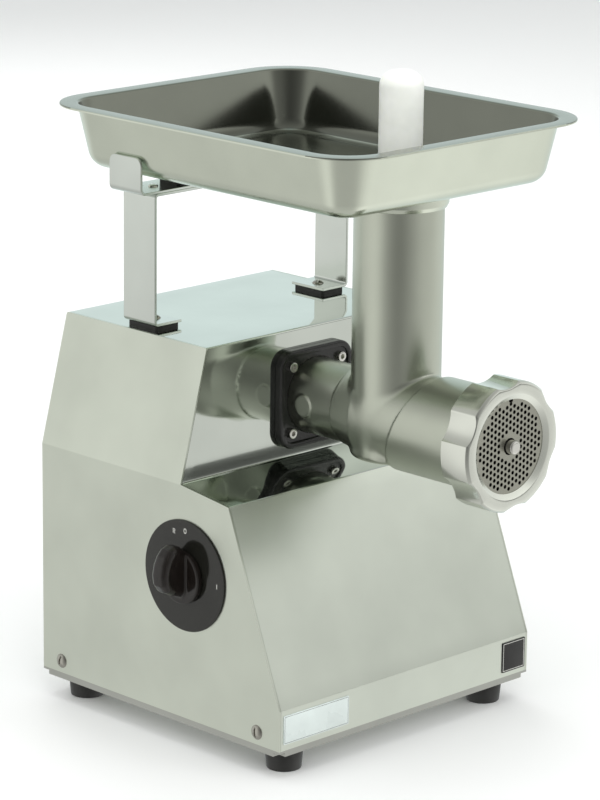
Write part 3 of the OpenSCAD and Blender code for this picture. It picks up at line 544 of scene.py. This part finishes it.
# Brightness of the studio as the metal mirrors it: azimuth and elevation in degrees, then a level.
# It is bright on both sides and behind, and dark on the side that the camera stands on.
REFLECTED_STUDIO = [
    (135, -15, 0.72), (136, 8, 0.97), (125, -36, 0.55), (110, 42, 0.55), (160, -15, 1.05), (165, 5, 0.95),
    (315, -15, 0.62), (315, 19, 1.35), (323, -34, 1.15), (325, 42, 0.42), (350, 0, 0.92), (285, -15, 0.72),
    (45, 15, 0.95), (45, -15, 0.85), (60, 50, 0.62), (15, 45, 0.62), (90, 0, 0.85), (0, -30, 0.80),
    (225, -15, 0.27), (225, 10, 0.12), (228, 30, 0.14), (225, 60, 0.35), (195, -12, 0.45), (258, -12, 0.45),
    (200, 25, 0.30), (255, 25, 0.45), (225, -45, 0.55), (0, 90, 0.50), (0, -90, 0.60),
]


def make_reflected_studio():
    """Round backdrop that only reflections see: softbox levels blended smoothly over all directions."""
    segments, rows = 180, 90
    radius = 9.0
    anchors = np.radians(np.array([a[:2] for a in REFLECTED_STUDIO], float))
    levels = np.array([a[2] for a in REFLECTED_STUDIO])
    toward = np.stack([np.cos(anchors[:, 1]) * np.cos(anchors[:, 0]),
                       np.cos(anchors[:, 1]) * np.sin(anchors[:, 0]), np.sin(anchors[:, 1])], 1)
    shape = bmesh.new()
    bmesh.ops.create_uvsphere(shape, u_segments=segments, v_segments=rows, radius=radius)
    mesh = bpy.data.meshes.new("reflected_studio")
    shape.to_mesh(mesh)
    shape.free()
    directions = np.array([v.co[:] for v in mesh.vertices]) / radius
    blend = 16.0
    weight = np.exp(blend * (directions @ toward.T - 1))
    level = (weight @ levels) / weight.sum(1)
    azimuth = np.degrees(np.arctan2(directions[:, 1], directions[:, 0]))
    elevation = np.degrees(np.arcsin(np.clip(directions[:, 2], -1, 1)))
    # The tray's inner back wall mirrors a low dark band, and the light from behind is slightly cool.
    gap = np.exp(-((elevation - 5.0) / 6.5) ** 4) * np.exp(-((azimuth + 47) / 22) ** 4)
    level *= 1 - 0.9 * gap
    cool = np.exp(-((azimuth - 45) / 40) ** 2)
    colour = np.stack([level * (1 - 0.12 * cool), level, level * (0.97 + 0.03 * cool)], 1)
    layer = mesh.color_attributes.new("level", "FLOAT_COLOR", "POINT")
    for item, value in zip(layer.data, colour):
        item.color = (*value, 1)
    material = bpy.data.materials.new("reflected_studio")
    material.use_nodes = True
    tree = material.node_tree
    tree.nodes.clear()
    attribute = tree.nodes.new("ShaderNodeVertexColor")
    attribute.layer_name = "level"
    emission = tree.nodes.new("ShaderNodeEmission")
    output = tree.nodes.new("ShaderNodeOutputMaterial")
    tree.links.new(attribute.outputs["Color"], emission.inputs["Color"])
    tree.links.new(emission.outputs["Emission"], output.inputs["Surface"])
    material.cycles.emission_sampling = "NONE"
    mesh.materials.append(material)
    dome = bpy.data.objects.new("reflected_studio", mesh)
    bpy.context.scene.collection.objects.link(dome)
    dome.visible_camera = False
    dome.visible_diffuse = False
    dome.visible_transmission = False
    dome.visible_volume_scatter = False
    dome.visible_shadow = False


def make_light():
    """Pale world and soft lights."""
    world = bpy.data.worlds.new("studio")
    world.use_nodes = True
    background = world.node_tree.nodes["Background"]
    background.inputs["Color"].default_value = (0.93, 0.95, 0.95, 1)
    background.inputs["Strength"].default_value = 0.86
    bpy.context.scene.world = world
    middle = (0, 0, 0.25)
    add_light("overhead_softbox", (-0.3, -0.3, 2.4), middle, 2.0, 2.0, 16)
    add_light("left_softbox", (-2.3, 0.2, 1.3), middle, 1.4, 1.8, 10, (1, 1, 0.97))
    add_light("front_softbox", (0.6, -2.4, 1.2), middle, 1.6, 1.4, 15)
    add_light("back_fill", (1.2, 2.2, 1.6), middle, 1.6, 1.6, 17)
    add_light("camera_side_fill", (-1.7, -2.0, 1.5), middle, 1.2, 1.2, 14)
    bpy.context.scene.view_settings.view_transform = "Standard"


# ---------------------------------------------------------------- housing

HALF_W, HALF_TOP, CREASE_Z, TOP_Z = 128.0, 103.5, 193.0, 287.0
LIP_Y, SHELF_Z, FACE_Y, BACK_Y, BOTTOM_Z = -79.0, 187.0, 22.0, 169.5, 22.0
PANEL_SHEET = 1.5
SIDE_OUTLINE = [(LIP_Y, BOTTOM_Z), (LIP_Y, 51.5), (-26.5, SHELF_Z), (FACE_Y, CREASE_Z), (FACE_Y, TOP_Z),
                (BACK_Y, TOP_Z), (BACK_Y, BOTTOM_Z)]


def half_width(z):
    """Half the housing's width at a height."""
    return HALF_W - max(0.0, z - CREASE_Z) * (HALF_W - HALF_TOP) / (TOP_Z - CREASE_Z)


def make_housing_wrap():
    """The folded sheet between the side panels, bent with tight radii."""
    line = rounded_profile(SIDE_OUTLINE, [1.6, 1.6, 1.6, 1.6, 1.6])
    dense = []
    for a, b in zip(line[:-1], line[1:]):
        parts = max(1, int(np.linalg.norm(np.array(b) - a) // 12))
        dense += [np.array(a) + (np.array(b) - a) * k / parts for k in range(parts)]
    dense.append(np.array(line[-1]))
    outer, inner = thicken(dense, -1.45)
    section = outer + inner[::-1]
    lean = (HALF_W - HALF_TOP) / (TOP_Z - CREASE_Z)
    gap = (PANEL_SHEET + 0.1) * math.sqrt(1 + lean * lean)
    columns = 24
    points = []
    for y, z in section:
        w = half_width(z) - gap
        points += [(-w + 2 * w * c / columns, y, z) for c in range(columns + 1)]
    rows, across = len(section), columns + 1
    faces = grid_faces(rows, across, True)
    n = len(outer)
    for edge in (0, columns):
        for i in range(n - 1):
            faces.append(tuple(r * across + edge for r in (i, i + 1, rows - 2 - i, rows - 1 - i)))
    sheet = add_piece("housing_sheet", points, faces, front_steel, "grinder", ["housing_wrap"], 35)
    # The lip and the slope have a rougher finish than the shelf, face and top, and a paler colour that is
    # painted light.
    sheet.data.materials.append(slope_steel_painted_light)
    for polygon in sheet.data.polygons:
        if polygon.center.z < (SHELF_Z - 0.4) * MM and polygon.center.y < 10 * MM:
            polygon.material_index = 1


def make_side_panel(side):
    """Side panel with its crease, its rim rolled over by a small radius."""
    outline = rounded_profile(SIDE_OUTLINE, [1.2, 1.2, 0.6, 1.2, 1.2], 3)
    cuts = list(np.linspace(BOTTOM_Z, TOP_Z, 28)) + [CREASE_Z - 1.2, CREASE_Z, CREASE_Z + 1.2]
    shape = bmesh.new()
    ring = [shape.verts.new((0, y, z)) for y, z in outline]
    shape.faces.new(ring)
    for z in sorted(cuts):
        bmesh.ops.bisect_plane(shape, geom=shape.verts[:] + shape.edges[:] + shape.faces[:],
                               plane_co=(0, 0, z), plane_no=(0, 0, 1))
    for y in np.linspace(-70, 165, 12):
        bmesh.ops.bisect_plane(shape, geom=shape.verts[:] + shape.edges[:] + shape.faces[:],
                               plane_co=(0, y, 0), plane_no=(0, 1, 0))
    for v in shape.verts:
        v.co.x = side * half_width(v.co.z)
    made = bmesh.ops.extrude_face_region(shape, geom=shape.faces[:])
    for v in [g for g in made["geom"] if isinstance(g, bmesh.types.BMVert)]:
        v.co.x -= side * PANEL_SHEET
    for v in shape.verts:
        v.co *= MM
    name = "side_panel_" + ("left" if side < 0 else "right")
    mesh = bpy.data.meshes.new(name + "_sheet")
    shape.to_mesh(mesh)
    shape.free()
    piece = bpy.data.objects.new(name + "_sheet", mesh)
    finish_piece(piece, side_steel, "grinder", [name], 8)
    bevel(piece, 0.7, 3, 50)


# ---------------------------------------------------------------- housing trim

FEET = [(x, y) for x in (-103, 103) for y in (-58.5, 149)]


def frame_line(name, centre, size, width, material):
    """Thin printed rectangle, just proud of a plate on the front lip."""
    inner, outer = LIP_Y - 0.55, LIP_Y - 0.63
    rows = []
    for inset, y in ((0, inner), (0, outer), (width, outer), (width, inner)):
        w, h = size[0] / 2 - inset, size[1] / 2 - inset
        rows += [(centre[0] + u * w, y, centre[1] + v * h) for u, v in ((-1, -1), (1, -1), (1, 1), (-1, 1))]
    add_piece(name, rows, grid_faces(4, 4, True, True), material, "grinder")


def make_housing_trim():
    """Feet, side screws and the two blank plates on the lip."""
    for i, (x, y) in enumerate(FEET):
        profile = [(6.2, 7.0), (6.2, 0.5), (6.7, 0.0), (11.6, 0.0), (12.2, 0.3), (12.45, 0.9), (13.95, 16.4),
                   (13.8, 17.1), (13.2, 17.4), (2.6, 17.4), (2.6, 7.0), (6.2, 7.0)]
        lathe("rubber_foot_%d" % (i + 1), profile, (x, y, 0), "Z", rubber, "grinder",
              ["rubber_feet"] if i == 0 else (), 96)
    for side, word in ((-1, "left"), (1, "right")):
        for y, end in ((-56.7, "front"), (149.3, "rear")):
            first = side < 0 and end == "front"
            lean = 0.12 if end == "front" else -0.2
            slot = np.array((0, lean, 1.0)) / math.hypot(1, lean)
            pan_screw("side_screw_%s_%s" % (word, end), (side * HALF_W, y, 31), (side, 0, 0), slot, 5.5, 2.5,
                      ["side_screws"] if first else ())
    rounded_slab("name_plate_blank", (-124, LIP_Y - 0.6, 26.5), (-60, LIP_Y, 47.5), 0.8, 0.15, "-Y",
                 pale_label, "grinder", ["name_plate"])
    rounded_slab("rating_plate_blank", (100.5, LIP_Y - 0.6, 25.5), (125, LIP_Y, 48.5), 0.8, 0.15, "-Y",
                 black_label, "grinder", ["rating_plate"])
    frame_line("name_plate_border", (-92, 37), (62.4, 19.4), 0.25, black_label)
    frame_line("rating_plate_border", (112.75, 37), (22.6, 21.1), 0.45, print_white)


# ---------------------------------------------------------------- dial and knob

DIAL_Y, DIAL_Z = 16.3, 128.0
PANEL_X, DIAL_X = -128.0, -129.5


def ribbon(name, line, width, centre):
    """Printed stroke on the dial along a line of [right, up] points, as seen from the switch side."""
    sides = [thicken(line, share * width)[1] for share in (-0.5, 0.5)]
    section = sides[0] + sides[1][::-1]
    n, m = len(line), len(section)
    points = [(x, centre[0] - u, centre[1] + v) for x in (DIAL_X + 0.05, DIAL_X - 0.06) for u, v in section]
    faces = [(i, (i + 1) % m, m + (i + 1) % m, m + i) for i in range(m)]
    for start in (0, m):
        faces += [(start + i, start + i + 1, start + m - 2 - i, start + m - 1 - i) for i in range(n - 1)]
    add_piece(name, points, faces, print_white, "grinder")


def make_dial():
    """Round plate with three generic marks: reverse, zero and one."""
    profile = [(5.2, PANEL_X), (40.5, PANEL_X), (40.5, PANEL_X - 1), (40.3, PANEL_X - 1.4), (39.8, DIAL_X),
               (5.2, DIAL_X), (5.2, PANEL_X)]
    lathe("dial_disc", profile, (0, DIAL_Y, DIAL_Z), "X", dial_black, "grinder", ["dial_plate"], 160)
    reverse_at, zero_at, one_at = (26.7, 158.8), (15.4, 161.0), (-17.1, 127.8)
    ribbon("mark_reverse_stem", [(-0.9, -1.8), (-0.9, 1.8)], 0.6, reverse_at)
    bowl = [(-0.9, 1.5), (0.15, 1.5)] + [(0.15 + 0.8 * math.sin(a), 0.7 + 0.8 * math.cos(a))
                                         for a in np.radians(range(20, 181, 20))] + [(-0.9, -0.1)]
    ribbon("mark_reverse_bowl", bowl, 0.55, reverse_at)
    ribbon("mark_reverse_leg", [(-0.1, -0.1), (0.9, -1.8)], 0.6, reverse_at)
    ring = [(1.2 * math.sin(a), 1.65 * math.cos(a)) for a in np.radians(range(0, 361, 15))]
    ribbon("mark_zero", ring, 0.55, zero_at)
    ribbon("mark_one", [(0, -1.7), (0, 1.7)], 0.6, one_at)


# The grip's outline: [distance from the panel, height above the axis]
GRIP_OUTLINE = [(3.5, -14.5), (3.5, 17), (5.5, 21), (9.5, 24), (14.5, 25), (19.5, 23), (23.5, 18.5),
                (26.5, 12.5), (28, 5), (27, -2), (23, -7.5), (17.5, -10.5), (10.5, -12.5), (6.5, -14)]
GRIP_WIDTH = 15.0


def outline_distance(u, v, outline):
    """Signed distance from points (u, v) to a closed outline, negative inside."""
    nearest = np.full(u.shape, 1e9)
    inside = np.zeros(u.shape, bool)
    for (u0, v0), (u1, v1) in zip(outline, outline[1:] + outline[:1]):
        du, dv = u1 - u0, v1 - v0
        t = np.clip(((u - u0) * du + (v - v0) * dv) / (du * du + dv * dv), 0, 1)
        nearest = np.minimum(nearest, np.hypot(u - u0 - t * du, v - v0 - t * dv))
        if dv:
            inside ^= ((v0 > v) != (v1 > v)) & (u < u0 + (v - v0) * du / dv)
    return np.where(inside, -nearest, nearest)


def knob_field(p):
    """Low round skirt, and an upright grip that bulges at the end pointing to the mark."""
    skirt = bar_x(p, 19.5, PANEL_X - 6.9, PANEL_X - 1.9, DIAL_Y, DIAL_Z, 1.4)
    side_view = outline_distance(PANEL_X - p[:, 0], p[:, 2] - DIAL_Z, GRIP_OUTLINE)
    grip = capped(side_view, np.abs(p[:, 1] - DIAL_Y) - GRIP_WIDTH / 2, 5.6)
    return soft_union(skirt, grip, 2.5)


def make_knob():
    step = 0.7
    implicit_piece("switch_grip", knob_field, (-158, -5, 106), (-128, 38, 155), step, black_plastic,
                   "switch_knob", ["knob"])


# ---------------------------------------------------------------- flange on the face

FLANGE_FIELD_Y = 17.6


def flange_field(p):
    """Square plate with a raised, rounded border and a recessed field round the neck."""
    half, corner = 36.2, 13.0
    q = np.abs(p[:, [0, 2]] - np.array((0, AXIS_Z))) - (half - corner)
    outline = np.hypot(np.maximum(q[:, 0], 0), np.maximum(q[:, 1], 0)) + np.minimum(q.max(1), 0) - corner
    y = p[:, 1]
    plate = capped(outline, np.maximum(16.0 - y, y - 23.0), 1.5)
    plate = np.maximum(plate, y - 22.0)
    plate = soft_cut(plate, np.maximum(outline + 4.5, y - FLANGE_FIELD_Y), 1.0)
    return np.maximum(plate, NECK_R + 0.1 - np.hypot(p[:, 0], p[:, 2] - AXIS_Z))


def make_flange():
    """The flange and its four screws with hexagon sockets."""
    step = 0.7
    implicit_piece("flange_moulding", flange_field, (-38, 14.5, 199), (38, 23.5, 274), step, flange_black,
                   "grinder", ["mounting_flange"])
    socket, mouth = hexagon(3.3), hexagon(3.7)
    seat, spacing = FLANGE_FIELD_Y, 24.4
    profile = [(0.01, seat + 16), (2.5, seat + 16), (2.5, seat), (3.7, seat), (3.7, seat - 2.6),
               (3.55, seat - 2.9), (3.3, seat - 3.0), (mouth, seat - 3.0), (socket, seat - 2.75),
               (socket, seat - 0.8), (0.01, seat - 0.6)]
    for i, (x, z) in enumerate([(x, z) for x in (-spacing, spacing) for z in (-spacing, spacing)]):
        lathe("flange_screw_%d" % (i + 1), profile, (x, 0, AXIS_Z + z), "Y", screw_steel, "grinder",
              ["flange_screws"] if i == 0 else (), 48)


# ---------------------------------------------------------------- head

def head_field(p):
    """Neck, cone, barrel behind a slanting step, and the feed tube with its rounded lower end."""
    x, y, z = p[:, 0], p[:, 1], p[:, 2] - AXIS_Z
    radial = np.hypot(x, z)
    body = capped(radial - NECK_R, np.maximum(-27 - y, y - 24.9), 0.3)
    flare = NECK_R + 1.1 + np.clip((-25.5 - y) / 22.0, 0, 1) ** 1.3 * 5.2
    body = soft_union(body, capped((radial - flare) * 0.97, np.maximum(-110 - y, y + 25.2), 0.8), 0.5)
    body = soft_union(body, bar_x(p, 8.2, -28.4, 0, 2.8, 235.5, 0.6), 1.2)
    tube = bar_z(p, TUBE_R, 208.5, TUBE_TOP, rounding=3.5)
    tube = np.maximum(tube, bar_z(p, TUBE_R, 100, TUBE_TOP, rounding=0.4))
    shape = soft_union(body, tube, 3.0)
    lean = 0.413
    slant = (y + 90 + lean * z) / math.hypot(1, lean)
    barrel = capped(radial - BARREL_R, np.maximum(-169 - y, slant), 1.0)
    barrel = np.maximum(barrel, -152 - y)
    shape = soft_union(shape, barrel, 1.6)
    mouth_y, thread_end = -168.4, -149.5
    thread = radial - 39.0 - 0.45 * np.cos(2 * math.pi * y / THREAD_PITCH - np.arctan2(z, x))
    shape = np.minimum(shape, np.maximum(thread, np.maximum(mouth_y - y, y - thread_end)))
    shape = np.maximum(shape, mouth_y - y)
    hollow = np.minimum(bar_y(p, WORM_BORE_R, -400, -34), bar_y(p, PLATE_R, -400, -150))
    hollow = np.minimum(hollow, bar_z(p, THROAT_R, AXIS_Z, 500))
    hollow = np.minimum(hollow, bar_y(p, NECK_BORE_R, -40, 60))
    return soft_cut(shape, hollow, 0.6)


def make_head():
    step = 1.1
    implicit_piece("grinder_head", head_field, (-43, -172, 196), (43, 28, 401), step, cast_steel, "grinder",
                   ["head_casting"])


# ---------------------------------------------------------------- ring nut

def nut_outline(angle):
    """Radius of the ring nut's rim: six lobes with shallow round scallops between them."""
    period = math.pi / 3
    a = (angle - math.radians(6.5)) % period - period / 2
    scallop, depth, rim = 26.0, 3.6, 46.2
    far = rim - depth + scallop
    inside = scallop ** 2 - (far * math.sin(a)) ** 2
    bite = far * math.cos(a) - math.sqrt(inside) if inside > 0 else 1e9
    return min(rim, bite)


def make_ring_nut():
    """Ring nut with chamfered lobes at the front and a lip that holds the plate."""
    segments = 432
    front, back = -173.2, -148.2
    turns = [2 * math.pi * k / segments for k in range(segments)]
    columns = []
    for a in turns:
        rim = nut_outline(a)
        chamfer = 0.9 + 0.45 * max(rim - 43.5, 0)
        columns.append([
            (rim - 0.6, back), (rim, back - 0.6), (rim, front + chamfer), (rim - 0.12, front + chamfer - 0.3),
            (rim - chamfer + 0.3, front + 0.12), (rim - chamfer, front), (37.6, front), (37.0, front + 0.25),
            (33.9, front + 2.3), (33.35, front + 2.6), (33.25, front + 3.0),
            (39.7, front + 3.0), (39.7, back - 0.6), (40.3, back),
        ])
    rows = list(zip(*columns))
    points = [(r * math.cos(a), y, AXIS_Z + r * math.sin(a)) for row in rows for a, (r, y) in zip(turns, row)]
    add_piece("lobed_ring_nut", points, grid_faces(len(rows), segments, True, True), nut_steel, "nut",
              ["ring_nut"], 24)


# ---------------------------------------------------------------- tray and pusher

TRAY_X, TRAY_Y0, TRAY_Y1, TRAY_TOP, TRAY_FLOOR = 128.5, -136.0, 176.3, 443.8, 397.5
RIM_WIDTH, RIM_CORNER, WALL_LEAN, TRAY_SHEET = 13.0, 44.0, 10.5, 1.0
CORNER_STEPS, SIDE_STEPS = 14, 14


def tray_loop(inset, z):
    """Rounded rectangle, inset from the rim's edge, anticlockwise from above; all have as many points."""
    radius = max(RIM_CORNER - inset, 3.0)
    x, y0, y1 = TRAY_X - inset, TRAY_Y0 + inset, TRAY_Y1 - inset
    centres = [(x - radius, y0 + radius, -90), (x - radius, y1 - radius, 0),
               (-x + radius, y1 - radius, 90), (-x + radius, y0 + radius, 180)]
    loop = []
    for i, (cx, cy, start) in enumerate(centres):
        arc = []
        for k in range(CORNER_STEPS + 1):
            a = math.radians(start + 90 * k / CORNER_STEPS)
            arc.append((cx + radius * math.cos(a), cy + radius * math.sin(a)))
        loop += arc
        nx, ny, after = centres[(i + 1) % 4]
        a = math.radians(after)
        to = (nx + radius * math.cos(a), ny + radius * math.sin(a))
        loop += [(arc[-1][0] + (to[0] - arc[-1][0]) * k / SIDE_STEPS,
                  arc[-1][1] + (to[1] - arc[-1][1]) * k / SIDE_STEPS) for k in range(1, SIDE_STEPS)]
    return [(px, py, z) for px, py in loop]


def tray_section():
    """[inset, z] of the sheet's upper face, from the rim's edge to the floor's raised middle."""
    top, floor = TRAY_TOP, TRAY_FLOOR + TRAY_SHEET
    wall_top = RIM_WIDTH + TRAY_SHEET
    wall_bottom = wall_top + WALL_LEAN
    raised = floor + 1.0
    corners = [(0.6, top - 1.4), (0.6, top), (wall_top, top), (wall_bottom, floor), (wall_bottom + 14, floor),
               (wall_bottom + 15.5, raised), (wall_bottom + 20, raised)]
    return rounded_profile(corners, [0.8, 2.2, 12.5, 1.5, 1.5], 7)


def make_tray():
    """Deep-drawn tray with a hole for the pusher, and the collar that slips over the feed tube."""
    line, under = thicken(tray_section(), -TRAY_SHEET)
    loops = [tray_loop(inset, z) for inset, z in under[::-1]] + [tray_loop(inset, z) for inset, z in line]
    n = len(loops[0])
    points = [p for loop in loops for p in loop]
    faces = grid_faces(len(loops), n, False, True)

    def disc(outer_start, z, flip):
        """Floor between a loop and the round feed hole, as rings that close in on the hole."""
        ring = [points[outer_start + k] for k in range(n)]
        last = list(range(outer_start, outer_start + n))
        for share in (0.25, 0.5, 0.72, 0.88, 1.0):
            start = len(points)
            for k, (px, py, _) in enumerate(ring):
                a = 2 * math.pi * (k - CORNER_STEPS // 2) / n - math.pi / 4
                hx, hy = THROAT_R * math.cos(a), TUBE_Y + THROAT_R * math.sin(a)
                points.append((px + (hx - px) * share, py + (hy - py) * share, z))
            now = list(range(start, start + n))
            for k in range(n):
                k2 = (k + 1) % n
                quad = (last[k], last[k2], now[k2], now[k])
                faces.append(quad[::-1] if flip else quad)
            last = now
        return last

    below = disc(0, loops[0][0][2], True)
    above = disc((len(loops) - 1) * n, loops[-1][0][2], False)
    for k in range(n):
        k2 = (k + 1) % n
        faces.append((below[k], below[k2], above[k2], above[k]))
    sheet = add_piece("tray_sheet", points, faces, tray_steel, "tray", ["tray"], 32)
    # Inside the tray, the rim's top, the walls and the floor take darker copies of the tray's steel: painted
    # shade, lightest on the floor.
    for inside_painted_shade in (rim_steel, well_steel, well_floor_steel):
        sheet.data.materials.append(inside_painted_shade)
    rim_slot, wall_slot, floor_slot = 1, 2, 3
    middle_y, half_length = (TRAY_Y0 + TRAY_Y1) / 2, (TRAY_Y1 - TRAY_Y0) / 2
    for polygon in sheet.data.polygons:
        x, y, z = polygon.center / MM
        in_from_edge = abs(x) < TRAY_X - 1.3 and abs(y - middle_y) < half_length - 1.35
        if polygon.normal.z > 0.05 and in_from_edge:
            inside_slot = floor_slot if polygon.normal.z > 0.8 else wall_slot
            polygon.material_index = rim_slot if z > TRAY_TOP - 1.5 else inside_slot
    profile = rounded_profile([(32.1, 388.4), (32.1, 398.2), (40.0, 398.2), (34.7, 397.4), (34.7, 391.0),
                               (33.2, 388.0), (32.1, 388.0), (32.1, 388.4)], [0, 0, 3.0, 0.6, 0.6, 0])
    lathe("tray_collar", [tuple(p) for p in profile], (0, TUBE_Y, 0), "Z", tray_steel, "tray",
          segments=96)


def make_pusher():
    """Rod with a domed top on a wider plunger."""
    profile = rounded_profile([(0.01, 265), (25.4, 265), (25.4, 285), (15.4, 287), (15.4, 482), (0.01, 482)],
                              [1.5, 3.0, 3.0, 10.5], 10)
    lathe("pusher_rod", [tuple(p) for p in profile], (0, TUBE_Y, 0), "Z", white_plastic, "pusher", ["pusher"],
          96, 45)


# ---------------------------------------------------------------- strips and clips

def bent_strip(name, corners, radii, thickness, y0, y1, material, replaces, rounded_ends=0.0):
    """Sheet strip bent along an [x, z] line, extruded from y0 to y1; its free ends may have round corners."""
    line = rounded_profile(corners, radii, 8)
    a, b = thicken(line, thickness)
    section = a + b[::-1]
    n, m = len(a), len(section)
    points = [(x, y, z) for y in (y0, y1) for x, z in section]
    faces = [(i, (i + 1) % m, m + (i + 1) % m, m + i) for i in range(m)]
    for start in (0, m):
        faces += [(start + i, start + i + 1, start + m - 2 - i, start + m - 1 - i) for i in range(n - 1)]
    piece = add_piece(name, points, faces, material, "grinder", replaces, 28)
    if rounded_ends:
        ends = {tuple(round(float(c), 3) for c in q) for q in (a[0], b[0], a[-1], b[-1])}
        shape = bmesh.new()
        shape.from_mesh(piece.data)
        short = [e for e in shape.edges
                 if all((round(v.co.x / MM, 3), round(v.co.z / MM, 3)) in ends for v in e.verts)
                 and abs(e.verts[0].co.y - e.verts[1].co.y) < 1e-6]
        bmesh.ops.bevel(shape, geom=short, offset=rounded_ends * MM, segments=6, affect="EDGES", profile=0.5)
        for edge in shape.edges:
            edge.smooth = len(edge.link_faces) == 2 and edge.calc_face_angle(0) < math.radians(28)
        shape.to_mesh(piece.data)
        shape.free()
    return bevel(piece, 0.35, 2, 60)


def make_brackets():
    """On each side: strip, clip, pad, screw, rivet and rubber buffer."""
    x, base, top = 97.4, 290.0, 386.2
    near, far = 82, 115
    middle_y = (near + far) / 2
    for side, word in ((-1, "left"), (1, "right")):
        corners = [(side * (x - 26), base), (side * x, base), (side * x, top), (side * (x - 46), top)]
        bent_strip("strip_" + word, corners, [3.5, 3.5], 2.0 * side, near, far, strip_steel,
                   ["bracket_" + word])
        corners = [(side * 53, top), (side * 110.8, top), (side * 110.8, 413)]
        bent_strip("clip_" + word, corners, [5.0], 1.8 * side, near, far, strip_steel,
                   ["tray_clip_" + word], 6.0)
        pad_x = side * (x - 14)
        rounded_slab("strip_pad_" + word, (pad_x - 11, near + 1.5, TOP_Z), (pad_x + 11, far - 1.5, base), 2.0,
                     0.6, "+Z", rubber, "grinder", ["bracket_pads"] if side < 0 else ())
        pan_screw("strip_screw_" + word, (side * (x - 15), middle_y, base + 2), (0, 0, 1), (0.8, 0.6, 0), 4.6,
                  2.4, ["bracket_screws"] if side < 0 else ())
        rivet = [(0.01, 382.6), (2.2, 382.65), (3.2, 383.2), (3.6, 384.2), (2.0, 384.2), (2.0, 388.0),
                 (3.6, 388.0), (3.4, 388.7), (2.4, 389.15), (0.01, 389.2)]
        lathe("clip_rivet_" + word, rivet, (side * 84, middle_y, 0), "Z", screw_steel, "grinder",
              ["clip_rivets"] if side < 0 else (), 48, 45)
        rounded_slab("tray_buffer_" + word, (side * 62 - 7, middle_y - 11, 388.0),
                     (side * 62 + 7, middle_y + 11, 397.45), 2.5, 1.5, "+Z", rubber, "grinder",
                     ["tray_buffers"] if side < 0 else ())


make_camera()
make_stage()
make_reflected_studio()
make_light()
make_housing_wrap()
for panel_side in (-1, 1):
    make_side_panel(panel_side)
make_housing_trim()
make_dial()
make_knob()
make_flange()
make_head()
make_ring_nut()
make_tray()
make_pusher()
make_brackets()
